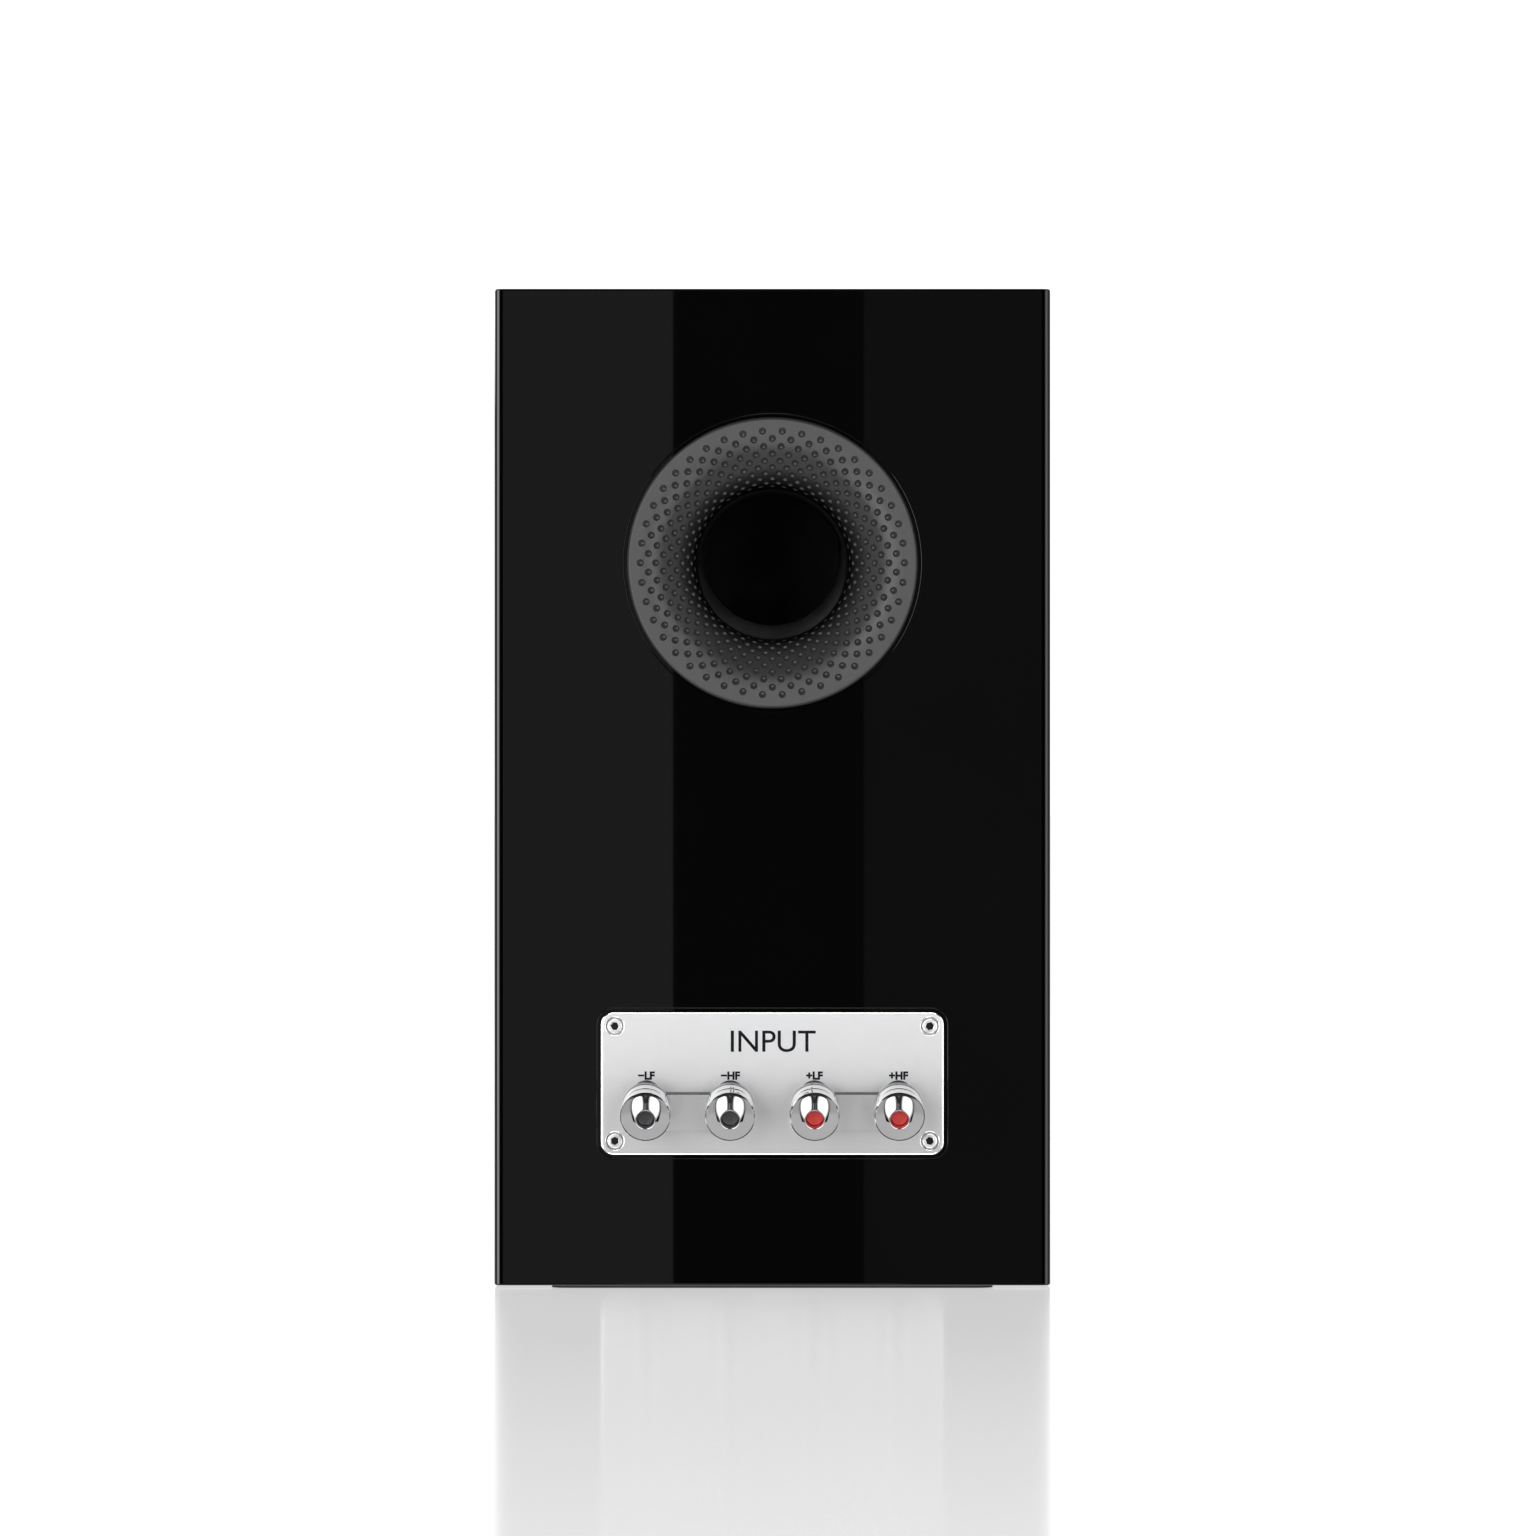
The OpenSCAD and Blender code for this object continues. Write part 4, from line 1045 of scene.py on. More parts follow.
def plate_corners():
    """The four screws' x and z, on the terminal plate."""
    low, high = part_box("terminal_screws")
    head_r = SCREW_HEAD_R * MM
    return [(x, z) for x in (low.x + head_r, high.x - head_r) for z in (low.z + head_r, high.z - head_r)]


def terminal_screws():
    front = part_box("terminal_screws")[1].y
    places = [
        facing_rear(x, front, z) @ Matrix.Rotation(math.radians(17 + 23 * i), 4, "Z")
        for i, (x, z) in enumerate(plate_corners())
    ]
    screw_group(
        "plate_screws", "terminal_screws", places, SOCKET_STEEL, "screw_steel",
        head_r=SCREW_HEAD_R, head_h=1.6, socket_af=2.5, shank_r=1.5, shank_len=13)


def mesh_from_curve(name, curve):
    source = link_in(name, curve)
    bpy.context.view_layer.update()
    mesh = bpy.data.meshes.new_from_object(source.evaluated_get(bpy.context.evaluated_depsgraph_get()))
    bpy.data.objects.remove(source)
    return mesh


def lettering(name, text, place, size, weight):
    """Generic printed words: ink that stands a hair off the plate."""
    curve = bpy.data.curves.new(name, "FONT")
    curve.body = text
    curve.size = size
    curve.align_x = "CENTER"
    curve.align_y = "CENTER"
    curve.extrude = 0.012
    curve.offset = weight
    curve.resolution_u = 6
    mesh = mesh_from_curve(name, curve)
    mesh.transform(place @ Matrix.Scale(MM, 4))
    stand_for(link_in(name, mesh), INK, "post_plastic", "cabinet")


def faceplate():
    """The terminal plate, with a rounded edge, a seat for each screw and a slanted hole for each post."""
    centre = middle("terminal_plate")
    size = size_mm("terminal_plate")
    place = facing_rear(centre.x, PLATE_Y, centre.z)
    edge = PLATE_EDGE
    bm = bmesh.new()

    def outline(inset):
        return rounded_box(size.x - 2 * inset, size.z - 2 * inset, PLATE_CORNER_R - inset, 12)

    loops = [lifted(outline(0), -size.y)]
    steps = 8
    for k in range(steps + 1):
        a = math.pi / 2 * k / steps
        loops.append(lifted(outline(edge * (1 - math.cos(a))), -edge * (1 - math.sin(a))))
    stack(bm, loops)
    plate = to_object("terminal_faceplate", bm, place)
    cutters = []
    for x, z in plate_corners():
        spot = facing_rear(x, PLATE_Y, z)
        cutters.append(mouth_cutter("screw_seat", circle_outline(SCREW_HEAD_R + 0.45, 64), 1.7, 0.4, spot))
        cutters.append(drill("screw_hole", 1.7, -size.y - 1, 1, spot, 48))
    cutters += [drill("post_hole", 4.25, -12, 12, along_post(post), 64) for post in POSTS]
    cut(plate, cutters)
    fence_flats(plate, 30)
    return stand_for(plate, PLATE, "plate_metal", "cabinet", "terminal_plate")


def terminals():
    plate = middle("terminal_plate")
    faceplate()
    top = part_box("terminal_plate")[1].z
    for post, text in zip(POSTS, ("−LF", "−HF", "+LF", "+HF")):
        knob(post)
        washer(post)
        red = "plus" in post
        plug(post, PLUG_RED if red else PLUG_GREY, "plug_red" if red else "plug_grey")
        x = joints[post + "_knob_turn"]["pos_m"][0]
        lettering(post + "_label", text, facing_rear(x, PLATE_Y + 0.01 * MM, top - 22.2 * MM), 3.7, 0.18)
    lettering("heading", "INPUT", facing_rear(plate.x, PLATE_Y + 0.01 * MM, top - 10.6 * MM), 10.6, 0.03)
    studs = join("threaded_studs", [stud(post, i) for i, post in enumerate(POSTS)])
    stand_for(studs, BRASS, "post_brass", "cabinet", "post_studs")
    link_plate("minus_link", "low_minus", "high_minus")
    link_plate("plus_link", "low_plus", "high_plus")
    terminal_screws()


# ---- Drivers ----

def bend(obj, material, node):
    """A surround or spider in place of its node, with its material and its place baked into its mesh."""
    wear(obj, material)
    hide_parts(node)
    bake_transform(obj)


def screwed_down(rim, node, material, place, low, high, screws, count, circle_r, first, spins):
    """A driver's front ring in place of its node, with counterbored holes and a cap screw in each."""
    bores, spots = [], []
    for i in range(count):
        a = first + TURN * i / count
        spot = place @ Matrix.Translation((circle_r * MM * math.cos(a), circle_r * MM * math.sin(a), 0))
        bores.append(drill(f"bore_{i}", 3.3, high - 2.2, high + 2, spot, 48))
        bores.append(drill(f"shank_bore_{i}", 2.0, low - 2, high + 2, spot, 32))
        spin = Matrix.Rotation(spins[0] + i * spins[1], 4, "Z")
        spots.append(spot @ Matrix.Translation((0, 0, (high - 0.2) * MM)) @ spin)
    cut(rim, bores)
    shade(rim.data, 35)
    stand_for(rim, material, "trim_metal", "cabinet", node)
    screw_group(
        screws + "_cap_screws", screws + "_screws", spots, BLACK_STEEL, "black_screw",
        head_r=3.0, head_h=2.0, socket_af=3.0, shank_r=1.8, shank_len=17)


def domed(r, h, base, sheet):
    """The outer and inner outlines of a shallow dome of radius r and height h."""
    ball = (r ** 2 + h ** 2) / (2 * h)
    span = math.degrees(math.asin(r / ball))

    def outline(ball_r, start, end):
        return [(x, y + base + h - ball) for x, y in arc(0, 0, ball_r, start, end, 24)]

    return outline(ball, 90, 90 - span), outline(ball - sheet, 90 - span, 90)


def woofer():
    place = facing_front("woofer_trim_ring")
    low, high = span_along("woofer_trim_ring", place)
    trim_r = widest_round("woofer_trim_ring", place)
    hole_r, groove_r, groove_w, groove_t = 74.0, 77.4, 1.0, 0.25
    ring = [(hole_r, low), (trim_r, low)] + arc(trim_r - 1, high - 1, 1, 0, 90, 6)
    ring += [(groove_r + groove_w, high), (groove_r + 0.7, high - groove_t)]
    ring += [(groove_r + 0.3, high - groove_t), (groove_r, high)]
    ring += arc(hole_r + 1.6, high - 1.6, 1.6, 90, 180, 8)
    screwed_down(
        lathe("trim_ring", ring, place, 192, sharp=35), "woofer_trim_ring", TRIM, place, low, high,
        "woofer", 6, 81.5, math.pi / 2, (0.4, 0.7))

    # Cone: a gently flaring sheet with shallow pressed rings, a flat rim and a rolled neck
    neck_z, rim_z, neck_r, rim_r = -36.0, -2.5, 19.0, 62.0
    flare = rim_r - 5 - neck_r

    def cone_z(r):
        return neck_z + (rim_z - neck_z) * ((r - neck_r) / flare) ** 0.88

    def pressed(r):
        return 0.28 * math.exp(-((r - 41) / 0.9) ** 2) + 0.28 * math.exp(-((r - 49) / 0.9) ** 2)

    steps = 76
    radii = [neck_r + 0.2 + (flare - 0.2) * i / steps for i in range(steps + 1)]
    front = [(r, cone_z(r) + pressed(r)) for r in radii]
    rim_start = rim_r - 4.4
    rim = [(rim_start, rim_z + 0.02), (rim_r, rim_z - 0.02), (rim_r, rim_z - 0.8), (rim_start, rim_z - 0.8)]
    back = [(r, z - 1.1) for r, z in reversed(front)]
    cone = lathe("pressed_cone", front + rim + back, place, 160, sharp=60)
    stand_for(cone, CONE, "cone_paper", "woofer_diaphragm", "woofer_cone")

    cap_r = 24.0
    base = cone_z(cap_r) + 0.3
    outer, inner = domed(cap_r, 7.0, base, 0.8)
    bead = [(cap_r + 0.9, base - 0.1), (cap_r + 0.9, base + 0.25), (cap_r + 0.2, base - 0.35)]
    cap = lathe("dust_cap", outer + bead + inner, place, 128, closed=False, sharp=50)
    stand_for(cap, CONE, "cone_paper", "woofer_diaphragm", "woofer_dust_cap")

    roll_r, sheet, roll_centre, roll_z = 6.0, 1.0, 67.5, -2.0
    foot_r, foot_z, rim_end = 57.0, -1.5, 78.0
    profile = [(foot_r, foot_z)]
    profile += rounded([(foot_r, foot_z, 0), (61.2, foot_z, 0.6), (61.9, -0.2, 0)], False)[1:-1]
    profile += arc(roll_centre, roll_z, roll_r, 180, 0, 28)[2:-2]
    profile += [(73.9, foot_z), (rim_end, foot_z), (rim_end, foot_z - sheet), (72.5, foot_z - sheet)]
    profile += arc(roll_centre, roll_z, roll_r - sheet, 0, 180, 28)[1:-1]
    profile += [(62.4, foot_z - sheet), (foot_r, foot_z - sheet)]
    bend(lathe("half_roll_surround", profile, place, 160, sharp=50), SURROUND_RUBBER,
         "woofer_surround")

    waves, wave_h, inner_r, outer_r, spider_r, spider_z, cloth = 5, 1.2, 19.05, 44.5, 49.0, -45.0, 0.6
    count = 120
    crest = []
    for i in range(count + 1):
        t = i / count
        fade = min(1.0, (1 - t) * 12) * min(1.0, t * 12)
        z = spider_z + wave_h * fade * math.sin(TURN * waves * t)
        crest.append((inner_r + (outer_r - inner_r) * t, z))
    profile = [(r, z + cloth) for r, z in crest] + [(spider_r, spider_z + cloth), (spider_r, spider_z)]
    profile += reversed(crest)
    bend(lathe("corrugated_spider", profile, place, 96, sharp=60), SPIDER_CLOTH,
         "woofer_spider")


def mesh_guard(place, base):
    """A shallow dome of fine hexagonal mesh in a flat ring, standing on base."""
    rim_r, sheet, pitch, height = GUARD_R, 0.5, 1.3, 4.2
    row_pitch = pitch * 0.866
    reach = pitch / math.sqrt(3)
    span = rim_r - 1.0
    ball = (span ** 2 + height ** 2) / (2 * height)
    bm = bmesh.new()
    points = {}

    def vertex(x, y):
        key = (round(x, 3), round(y, 3))
        if key not in points:
            z = base + height - ball + math.sqrt(ball ** 2 - x * x - y * y)
            points[key] = bm.verts.new((x, y, z - sheet / 2))
        return points[key]

    rows = int(span / row_pitch) + 1
    for j in range(-rows, rows + 1):
        for i in range(-rows - 2, rows + 3):
            cx, cy = pitch * (i + 0.5 * (j % 2)), row_pitch * j
            if math.hypot(cx, cy) > span - 0.9:
                continue
            turns = [math.radians(60 * k + 30) for k in range(6)]
            corners = [vertex(cx + reach * math.cos(a), cy + reach * math.sin(a)) for a in turns]
            if len(set(corners)) == 6:
                bm.faces.new(corners)
    net = to_object("guard_net", bm, place)
    strands = net.modifiers.new("strands", "WIREFRAME")
    strands.thickness = 0.42 * MM
    strands.use_boundary = True
    strands.use_even_offset = False
    apply_modifiers(net)
    ring = [(span - 1.2, base), (rim_r, base)] + arc(rim_r - 0.25, base + 0.25, 0.25, 0, 90, 3)
    ring += [(span + 0.2, base + sheet)] + arc(span - 0.7, base + 0.55, 0.35, 60, 180, 5)
    return join("mesh_guard", [net, lathe("guard_rim", ring, place, 128, sharp=40)])


GUARD_R = 18.8


def tweeter():
    place = facing_front("tweeter_faceplate")
    low, high = span_along("tweeter_faceplate", place)
    r = widest_round("tweeter_faceplate", place)
    mouth_r = 15.6
    profile = [(mouth_r, low), (r, low)] + arc(r - 0.5, high - 0.5, 0.5, 0, 90, 5)
    flare = [(r - 0.6, high, 0), (GUARD_R + 7, high, 9.0), (GUARD_R + 0.2, high - 1.2, 0)]
    profile += rounded(flare, False, 10)[1:]
    profile += [(GUARD_R + 0.2, high - 1.7), (GUARD_R - 1.2, high - 1.7), (mouth_r, high - 3.9)]
    screwed_down(
        lathe("waveguide_plate", profile, place, 160, sharp=35), "tweeter_faceplate", TRIM, place, low, high,
        "tweeter", 4, 44, math.pi / 4, (0.2, 0.5))
    guard = mesh_guard(place, span_along("tweeter_guard", place)[0])
    stand_for(guard, FRAME_PAINT, "guard_mesh", "cabinet", "tweeter_guard")

    dome_r, roll, sheet = 12.7, 1.25, 0.4
    outer, inner = domed(dome_r, 5.0, low, sheet)
    dome = lathe("cloth_dome", outer + inner, place, 96, closed=False, sharp=50)
    stand_for(dome, DOME_CLOTH, "dome_cloth", "tweeter_diaphragm", "tweeter_dome")
    centre_r, lip_z = dome_r + 0.05 + roll, low - sheet
    rim_end = centre_r + roll + 2.6
    profile = arc(centre_r, lip_z, roll, 180, 18, 14) + [(rim_end, lip_z + sheet), (rim_end, lip_z)]
    profile += arc(centre_r, lip_z, roll - sheet, 0, 180, 14)
    bend(lathe("cloth_surround", profile, place, 96, sharp=50), DOME_CLOTH,
         "tweeter_surround")


# ---- Inside ----

def foam_sheet(name, a, b, face):
    """One sheet between corners a and b. Its peaks point along X by face, or down where face is 0."""
    a, b = Vector(a) / MM, Vector(b) / MM
    if face:
        base, top = (a.x, b.x) if face > 0 else (b.x, a.x)
        us, vs = (a.y, b.y), (a.z, b.z)
    else:
        base, top, us, vs = b.z, a.z, (a.x, b.x), (a.y, b.y)
    pitch, per_peak = 20.0, 6
    nu, nv = (max(2, round((ends[1] - ends[0]) / pitch)) * per_peak for ends in (us, vs))
    bm = bmesh.new()
    grid = []
    for i in range(nu + 1):
        u = us[0] + (us[1] - us[0]) * i / nu
        column = []
        for j in range(nv + 1):
            v = vs[0] + (vs[1] - vs[0]) * j / nv
            wave = 0.5 + 0.25 * (math.cos(TURN * i / per_peak) + math.cos(TURN * j / per_peak))
            level = base + (top - base) * (0.35 + 0.65 * wave)
            column.append([bm.verts.new((h, u, v) if face else (u, v, h)) for h in (level, base)])
        grid.append(column)
    for i in range(nu):
        for j in range(nv):
            for k in (0, 1):
                bm.faces.new((grid[i][j][k], grid[i + 1][j][k], grid[i + 1][j + 1][k], grid[i][j + 1][k]))
    for i in range(nu):
        for j in (0, nv):
            bm.faces.new((grid[i][j][0], grid[i + 1][j][0], grid[i + 1][j][1], grid[i][j][1]))
    for j in range(nv):
        for i in (0, nu):
            bm.faces.new((grid[i][j][0], grid[i][j + 1][0], grid[i][j + 1][1], grid[i][j][1]))
    return to_object(name, bm, None, 60)


def ridged_foam():
    """Egg-crate sheets: rounded peaks in rows, on a flat back that is glued to the wall."""
    low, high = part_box("acoustic_foam")
    brace_low, brace_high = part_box("shelf_brace")
    side_t, gap = 10.0 * MM, 2 * MM
    left, right = low.x + side_t, high.x - side_t
    sheets = []
    for x0, x1, face in ((low.x, left, 1), (right, high.x, -1)):
        sheets.append(((x0, low.y, low.z), (x1, high.y, brace_low.z - gap), face))
        sheets.append(((x0, low.y, brace_high.z + gap), (x1, high.y, high.z - gap), face))
    sheets.append(((left + gap, low.y, high.z - side_t), (right - gap, high.y, high.z), 0))
    pieces = [foam_sheet(f"foam_{n}", *sheet) for n, sheet in enumerate(sheets)]
    stand_for(join("ridged_foam", pieces), FOAM, "foam", "cabinet", "acoustic_foam")


def coils():
    """Air-cored coils: a barrel of wire turns between two thin cheeks."""
    low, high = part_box("inductors")
    core_r, cheek, big, small = 8.0, 1.2, 20.0, 17.0
    made = []
    for n, (x, r, h) in enumerate(((low.x + big * MM, big, 16.0), (high.x - small * MM, small, 14.0))):
        place = Matrix.Translation((x, (low.y + high.y) / 2, low.z))
        turns = int((h - 2 * cheek) / 1.1)
        pitch = (h - 2 * cheek) / turns
        wall = [(core_r, 0.0), (r, 0.0), (r, cheek)]
        for k in range(turns):
            z = cheek + pitch * (k + 0.5)
            wall += [(r - 1.6 + 0.5 * pitch * math.cos(a), z + 0.5 * pitch * math.sin(a))
                     for a in (-1.4, -0.7, 0.0, 0.7, 1.4)]
        wall += [(r, h - cheek), (r, h), (core_r, h)]
        made.append(lathe(f"coil_{n}", wall, place, 96, sharp=40))
    stand_for(join("wound_coils", made), COPPER, "coil_wire", "cabinet", "inductors")


def smooth_wire(name, points, material):
    """A wire along a smooth curve through its points, as a mesh tube."""
    curve = bpy.data.curves.new(name, "CURVE")
    curve.dimensions = "3D"
    curve.bevel_depth = 1.1 * MM
    curve.bevel_resolution = 4
    curve.resolution_u = 8
    curve.use_fill_caps = True
    spline = curve.splines.new("BEZIER")
    spline.bezier_points.add(len(points) - 1)
    for i, p in enumerate(points):
        b = spline.bezier_points[i]
        b.co = p
        before = points[max(0, i - 1)]
        after = points[min(len(points) - 1, i + 1)]
        ahead = (after - before).normalized()
        b.handle_left = p - ahead * (p - before).length * 0.3
        b.handle_right = p + ahead * (after - p).length * 0.3
    mesh = mesh_from_curve(name, curve)
    mesh.shade_smooth()
    mesh.materials.append(material)
    return link_in(name, mesh)


def wiring():
    """Sleeved wires from the posts to the board, and from the board to the two drivers."""
    board_low, board_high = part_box("crossover_board")
    top = board_high.z
    inner_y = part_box("rear_panel")[0].y
    made = []
    for post in POSTS:
        joint = joints[post + "_knob_turn"]
        foot, out = Vector(joint["pos_m"]), Vector(joint["axis"])
        up = out.cross(Vector((-1, 0, 0)))
        tag = foot - out * 13.4 * MM - up * 11.0 * MM
        board_x, board_y = foot.x * 0.95, board_high.y - 6 * MM
        points = [
            tag + Vector((0, -0.3, -1.4)) * MM,
            Vector((foot.x, inner_y - 9 * MM, tag.z - 5 * MM)),
            Vector((board_x, board_y, top + 12 * MM)),
            Vector((board_x, board_y, top)),
        ]
        made.append(smooth_wire(post + "_lead", points, WIRE_RED if "plus" in post else WIRE_BLACK))

    start_y = board_low.y + 4 * MM
    woofer_y, woofer_z = FRONT_Y + 45.6 * MM, middle("woofer_trim_ring").z - 63 * MM
    tweeter_y, tweeter_z = FRONT_Y + 31.6 * MM, middle("tweeter_faceplate").z + 32 * MM
    to_woofer = [
        (9, start_y, top), (9, start_y, top + 8 * MM),
        (6, woofer_y, woofer_z - 8 * MM), (6, woofer_y, woofer_z),
    ]
    to_tweeter = [
        (22, start_y, top), (22, start_y, top + 8 * MM), (30, FRONT_Y + 115 * MM, 80 * MM),
        (34, FRONT_Y + 104 * MM, 180 * MM), (38, FRONT_Y + 80 * MM, 226 * MM),
        (36, FRONT_Y + 50 * MM, 284 * MM), (5, tweeter_y, tweeter_z + 6 * MM), (5, tweeter_y, tweeter_z),
    ]
    for side, material in ((-1, WIRE_BLACK), (1, WIRE_RED)):
        for driver, route in (("woofer", to_woofer), ("tweeter", to_tweeter)):
            points = [Vector((side * x * MM, y, z)) for x, y, z in route]
            made.append(smooth_wire(f"{driver}_lead_{side}", points, material))
    for piece in made:
        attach(piece, "cabinet")
    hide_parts("internal_wiring")


# ---- CAD nodes whose shape is already right ----

CARRIED = {
    "base_pad": PAD_RUBBER,
    "shelf_brace": BOARD,
    "stand_inserts": BRASS,
    "port_gasket": GASKET,
    "port_tube": BLACK_PLASTIC,
    "port_inner_flare": PORT,
    "terminal_gasket": GASKET,
    "post_insulators": BLACK_PLASTIC,
    "post_nuts": BRASS,
    "solder_tags": BRASS,
    "woofer_basket": FRAME_PAINT,
    "woofer_top_plate": ZINC,
    "woofer_magnet": FERRITE,
    "woofer_yoke": ZINC,
    "woofer_voice_coil": VOICE_WIRE,
    "tweeter_voice_coil": VOICE_WIRE,
    "tweeter_magnet": FERRITE,
    "tweeter_pole_pieces": ZINC,
    "tweeter_rear_chamber": FRAME_PAINT,
    "crossover_board": CIRCUIT,
    "capacitors": FILM,
    "resistors": CERAMIC,
}


def dress_carried_nodes():
    for node, material in CARRIED.items():
        obj = nodes[node]
        obj.data.materials.clear()
        obj.data.materials.append(material)


# ---- Camera, floor and light ----

VIEW_DISTANCE = 3.0
VIEW_WIDTH = 0.5301
SENSOR = 36.0
EYE_X = 0.0015
EYE_Z = 0.1796

# Edges and glow of the two cards that the rear panel mirrors as vertical bands
CARD_DISTANCE = 3.2
LEFT_CARD_EDGE = 0.0343
RIGHT_CARD_EDGE = -0.0316
CARD_OUTER_EDGE = 0.104
LEFT_CARD_GLOW = 0.26
RIGHT_CARD_GLOW = 0.10

LIGHT_DISTANCE = 2.8
LEFT_RADIANCE = 3.6
RIGHT_RADIANCE = 1.5
LEFT_GLOW = 2.6
RIGHT_GLOW = 2.0
LEFT_STRIP = 4.5
RIGHT_STRIP = 1.8
FRONT_RADIANCE = 5.0
TOP_POWER = 40
PORT_KEY_DISTANCE = 3.0
PORT_KEY_AZIMUTH = 8
PORT_KEY_WIDTH = 4.2
PORT_KEY_RADIANCE = 2.1
GLOW_CORE = 0.45
WORLD_SEEN = 1.15
WORLD_MATT = 0.08
WORLD_ABOVE = 0.03
WORLD_AROUND = 0.40
WORLD_BELOW = 0.50


def camera():
    data = bpy.data.cameras.new("camera")
    data.sensor_width = SENSOR
    data.lens = SENSOR * VIEW_DISTANCE / VIEW_WIDTH
    data.clip_start = 0.05
    data.clip_end = 60
    obj = link_in("camera", data)
    obj.location = (EYE_X, REAR_Y + VIEW_DISTANCE, EYE_Z)
    obj.rotation_euler = (math.radians(90), 0, math.radians(180))
    scene.camera = obj


def area_light(name, place, look_at, w, h, power):
    data = bpy.data.lights.new(name, "AREA")
    data.shape = "RECTANGLE"
    data.size = w
    data.size_y = h
    data.energy = power
    obj = link_in(name, data)
    obj.location = place
    obj.rotation_euler = (Vector(look_at) - Vector(place)).to_track_quat("-Z", "Y").to_euler()
    obj.visible_camera = False
    return obj


def mirrored(panel_x, distance):
    """The x of the spot, at a distance behind the rear panel, that the camera sees mirrored at panel_x."""
    return EYE_X + (panel_x - EYE_X) * (VIEW_DISTANCE + distance) / VIEW_DISTANCE


def card(name, corners, strength_into):
    """A flat emitter that only mirrors and satin metal see. strength_into(tree, shader) sets how it glows."""
    mesh = bpy.data.meshes.new(name)
    mesh.from_pydata(corners, [], [(0, 1, 2, 3)])
    material = bpy.data.materials.new(name)
    material.use_nodes = True
    tree = material.node_tree
    tree.nodes.clear()
    light = tree.nodes.new("ShaderNodeEmission")
    strength_into(tree, light.inputs["Strength"])
    out = tree.nodes.new("ShaderNodeOutputMaterial")
    tree.links.new(light.outputs[0], out.inputs["Surface"])
    mesh.materials.append(material)
    made = link_in(name, mesh)
    made.visible_camera = False
    made.visible_diffuse = False
    made.visible_shadow = False
    return made


def reflected_card(name, x0, x1, glow):
    """A dim, even, upright card behind the camera."""
    y = REAR_Y + CARD_DISTANCE
    z0, z1 = -0.35, 0.75

    def even(tree, strength):
        strength.default_value = glow

    card(name, [(x0, y, z0), (x1, y, z0), (x1, y, z1), (x0, y, z1)], even)


def world():
    """White to the camera and dim to matt surfaces. Mirrors see dark above and behind the camera, grey around
    and below, and white only straight ahead of a camera that faces the rear panel."""
    made = bpy.data.worlds.new("studio")
    scene.world = made
    made.use_nodes = True
    tree = made.node_tree
    tree.nodes.clear()

    def background(strength):
        node = tree.nodes.new("ShaderNodeBackground")
        node.inputs["Color"].default_value = (1, 1, 1, 1)
        if isinstance(strength, float):
            node.inputs["Strength"].default_value = strength
        else:
            tree.links.new(strength, node.inputs["Strength"])
        return node.outputs[0]

    def ramp(source, from_low, from_high, to_low, to_high):
        node = tree.nodes.new("ShaderNodeMapRange")
        node.interpolation_type = "SMOOTHSTEP"
        node.inputs["From Min"].default_value = from_low
        node.inputs["From Max"].default_value = from_high
        for key, value in (("To Min", to_low), ("To Max", to_high)):
            if isinstance(value, float):
                node.inputs[key].default_value = value
            else:
                tree.links.new(value, node.inputs[key])
        tree.links.new(source, node.inputs["Value"])
        return node.outputs["Result"]

    def choose(test, no, yes):
        node = tree.nodes.new("ShaderNodeMixShader")
        tree.links.new(test, node.inputs[0])
        tree.links.new(no, node.inputs[1])
        tree.links.new(yes, node.inputs[2])
        return node.outputs[0]

    axes = tree.nodes.new("ShaderNodeSeparateXYZ")
    tree.links.new(tree.nodes.new("ShaderNodeTexCoord").outputs["Generated"], axes.inputs[0])
    path = tree.nodes.new("ShaderNodeLightPath")
    overhead = ramp(axes.outputs["Z"], 0.45, 0.80, WORLD_AROUND, WORLD_ABOVE)
    around = ramp(axes.outputs["Z"], -0.40, -0.12, WORLD_BELOW, overhead)
    behind = ramp(axes.outputs["Z"], -0.40, -0.12, WORLD_BELOW, WORLD_ABOVE)
    sideways = ramp(axes.outputs["Y"], 0.62, 0.92, around, behind)
    off_axis = tree.nodes.new("ShaderNodeMath")
    off_axis.operation = "ABSOLUTE"
    tree.links.new(axes.outputs["X"], off_axis.inputs[0])
    ahead = ramp(off_axis.outputs[0], 0.20, 0.36, WORLD_SEEN, sideways)
    mirrored_sky = ramp(axes.outputs["Y"], -0.60, -0.40, ahead, sideways)
    matt_or_mirror = choose(path.outputs["Is Glossy Ray"], background(WORLD_MATT), background(mirrored_sky))
    out = tree.nodes.new("ShaderNodeOutputWorld")
    seen = choose(path.outputs["Is Camera Ray"], matt_or_mirror, background(WORLD_SEEN))
    tree.links.new(seen, out.inputs["Surface"])


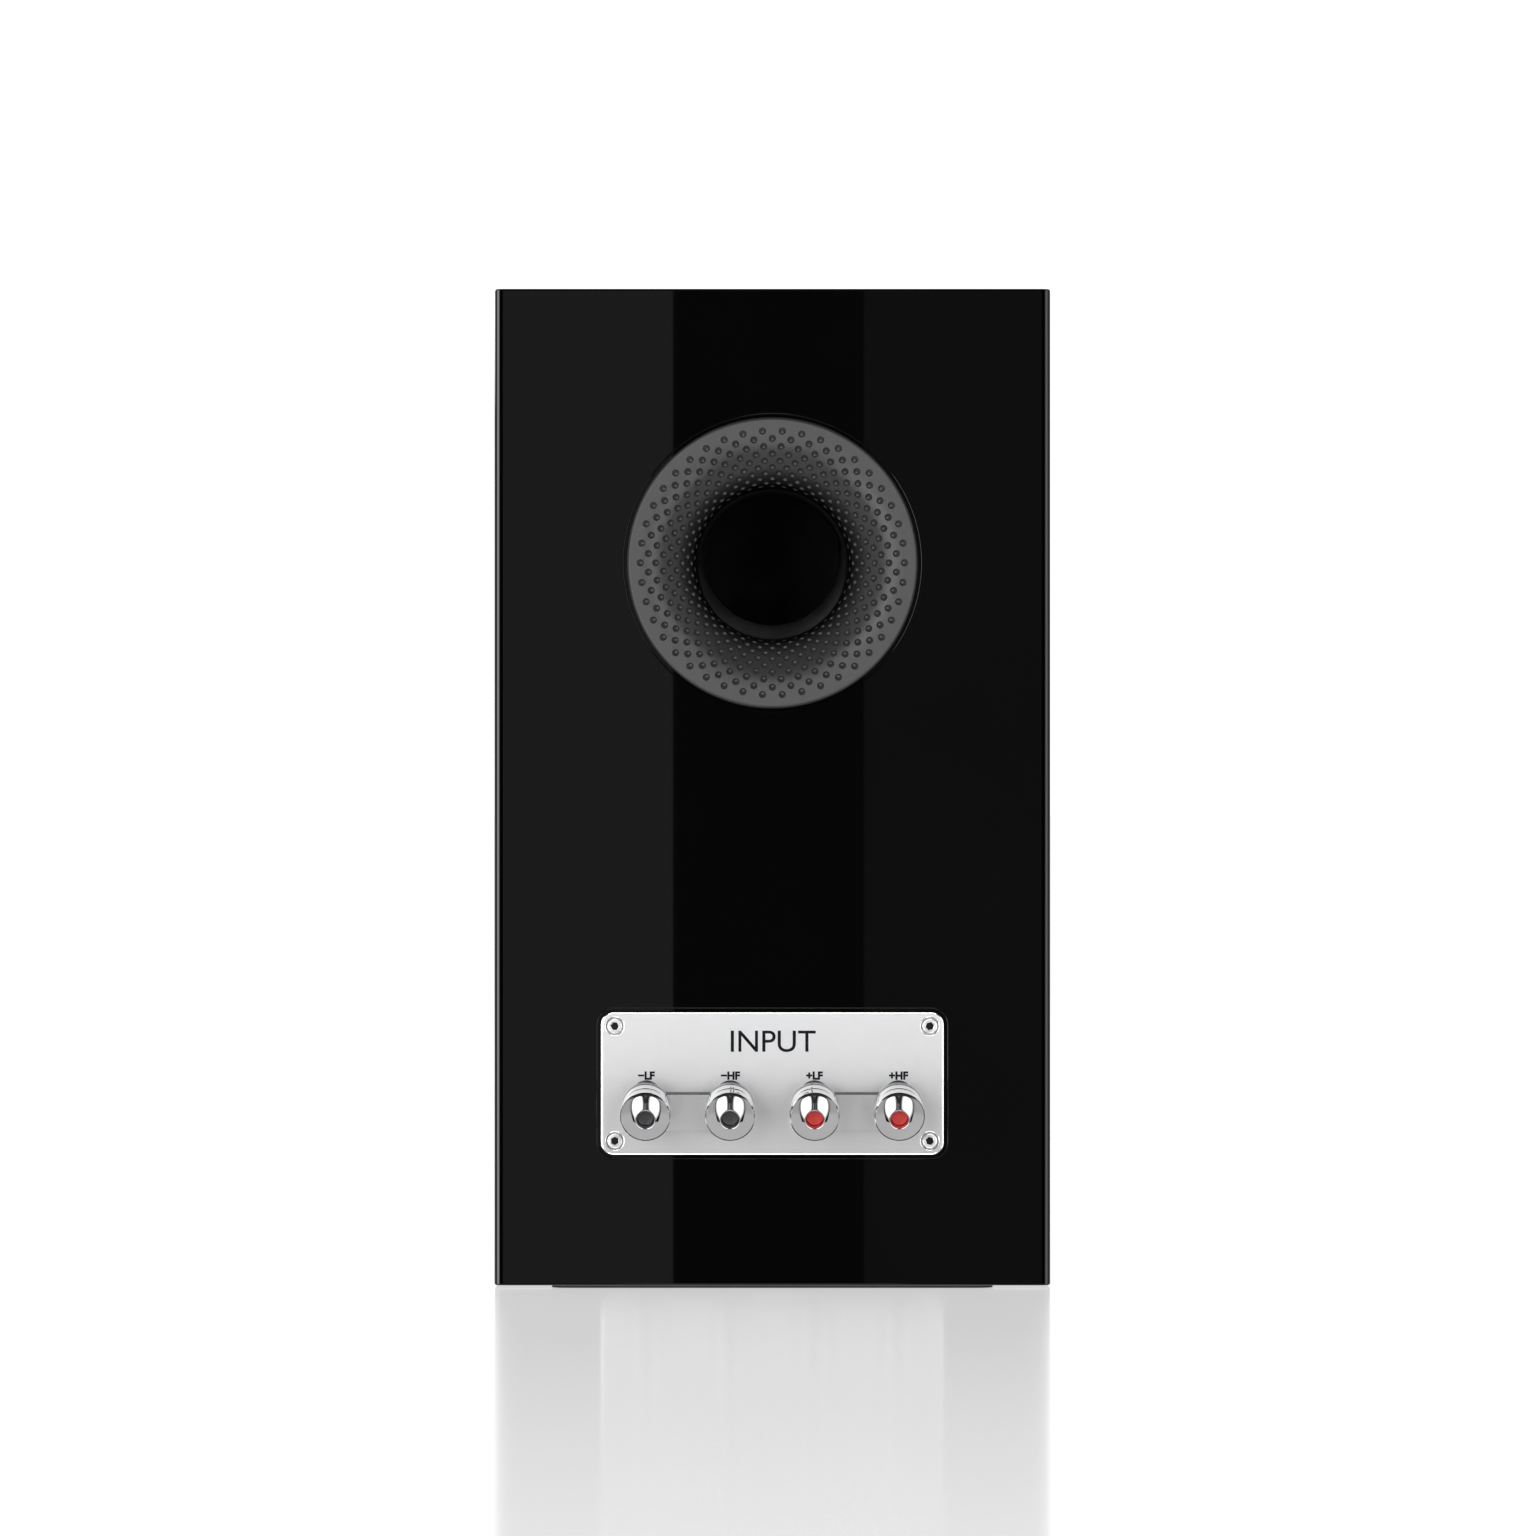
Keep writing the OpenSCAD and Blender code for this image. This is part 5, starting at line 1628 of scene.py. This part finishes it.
def glow_card(name, place, w, h, radiance):
    """An oval glow with a soft edge that faces the speaker."""
    def soft_oval(tree, strength):
        reach = tree.nodes.new("ShaderNodeVectorMath")
        reach.operation = "LENGTH"
        fade = tree.nodes.new("ShaderNodeMapRange")
        fade.interpolation_type = "SMOOTHSTEP"
        fade.inputs["From Min"].default_value = GLOW_CORE
        fade.inputs["From Max"].default_value = 1.0
        fade.inputs["To Min"].default_value = radiance
        fade.inputs["To Max"].default_value = 0.0
        tree.links.new(tree.nodes.new("ShaderNodeTexCoord").outputs["Object"], reach.inputs[0])
        tree.links.new(reach.outputs["Value"], fade.inputs["Value"])
        tree.links.new(fade.outputs["Result"], strength)

    made = card(name, [(-1, -1, 0), (1, -1, 0), (1, 1, 0), (-1, 1, 0)], soft_oval)
    made.location = place
    made.rotation_euler = (Vector((0, REAR_Y, place[2])) - Vector(place)).to_track_quat("-Z", "Y").to_euler()
    made.scale = (w / 2, h / 2, 1)
    return made


def around_rear(azimuth, distance, z):
    """A point round the rear face. Azimuth turns from straight behind it, in degrees."""
    a = math.radians(azimuth)
    return (distance * math.sin(a), REAR_Y + distance * math.cos(a), z)


def lamp_power(radiance, w, h):
    """The watts that make a flat light of this size look as bright as its radiance."""
    return radiance * math.pi * w * h


def softbox(name, azimuth, distance, z, w, h, radiance, mirrored_too=True):
    """An upright soft light that faces the speaker, with its own reflection or without."""
    place = around_rear(azimuth, distance, z)
    light = area_light(name, place, (0, REAR_Y, z), w, h, lamp_power(radiance, w, h))
    light.visible_glossy = mirrored_too
    return light


def edge_strip(name, azimuth, radiance, *lit):
    """An upright light beside the speaker that shows only as the bright line along rounded edges."""
    strip = softbox(name, azimuth, LIGHT_DISTANCE, 0.3, 1.6, 3.6, radiance)
    strip.visible_diffuse = False
    light_only(strip, *lit)


def port_key():
    """A broad light from beside the lens for the port alone, so that the panel's mirror stays dark."""
    w = PORT_KEY_WIDTH
    port = middle("port_flare")
    place = around_rear(PORT_KEY_AZIMUTH, PORT_KEY_DISTANCE, port.z)
    light = area_light("port_key", place, port, w, w, lamp_power(PORT_KEY_RADIANCE, w, w) * math.pi / 4)
    light.data.shape = "DISK"
    light_only(light, "dimpled_port_flare")


def light_only(light, *names):
    """Keeps a light to the named pieces."""
    lit = bpy.data.collections.new("lit_by_" + light.name)
    for name in names:
        lit.objects.link(bpy.data.objects[name])
    light.light_linking.receiver_collection = lit


def ground():
    bm = bmesh.new()
    bmesh.ops.create_grid(bm, x_segments=1, y_segments=1, size=30000)
    floor = to_object("floor", bm, Matrix.Translation((0, 0, FLOOR_TOP)))
    floor.data.materials.append(floor_material())
    floor.visible_glossy = False


def studio():
    ground()
    world()
    for name, edges, glow in (
        ("left_card", (LEFT_CARD_EDGE, CARD_OUTER_EDGE), LEFT_CARD_GLOW),
        ("right_card", (-CARD_OUTER_EDGE, RIGHT_CARD_EDGE), RIGHT_CARD_GLOW),
    ):
        reflected_card(name, *(mirrored(x, CARD_DISTANCE) for x in edges), glow)
    for name, azimuth, radiance in (
        ("left_softbox", 30, LEFT_RADIANCE), ("right_softbox", -30, RIGHT_RADIANCE),
    ):
        softbox(name, azimuth, LIGHT_DISTANCE, 0.25, 2.3, 2.6, radiance, False)
    for name, azimuth, glow in (("left_glow", 24, LEFT_GLOW), ("right_glow", -24, RIGHT_GLOW)):
        made = glow_card(name, around_rear(azimuth, LIGHT_DISTANCE, 0.3), 1.9, 5.2, glow)
        light_only(made, "lacquered_cabinet")
        link = made.light_linking.receiver_collection.collection_objects[0].light_linking
        link.link_state = "EXCLUDE"
    bright_edges = ("terminal_faceplate", "plate_screws")
    edge_strip("left_strip", 70, LEFT_STRIP, "lacquered_cabinet", *bright_edges)
    edge_strip("right_strip", -70, RIGHT_STRIP, "lacquered_cabinet", *bright_edges)
    for name, z in (("top_strip", 2.6), ("low_strip", -2.2)):
        place = (0, REAR_Y + 1.3, z)
        strip = area_light(name, place, (0, REAR_Y, 0.1), 2.4, 1.1, lamp_power(LEFT_STRIP, 2.4, 1.1))
        strip.visible_diffuse = False
        light_only(strip, *bright_edges)
    port_key()
    softbox("front_softbox", 150, 3.2, 1.4, 1.6, 1.6, FRONT_RADIANCE)
    top = area_light("top_softbox", (0, 0.2, 2.6), (0, 0, 0.17), 2.6, 2.2, TOP_POWER)
    top.visible_glossy = False
    scene.view_settings.view_transform = "Standard"


# ---- Build ----

camera()
lacquered_cabinet()
dimpled_flare()
terminals()
woofer()
tweeter()
ridged_foam()
coils()
wiring()
dress_carried_nodes()
studio()
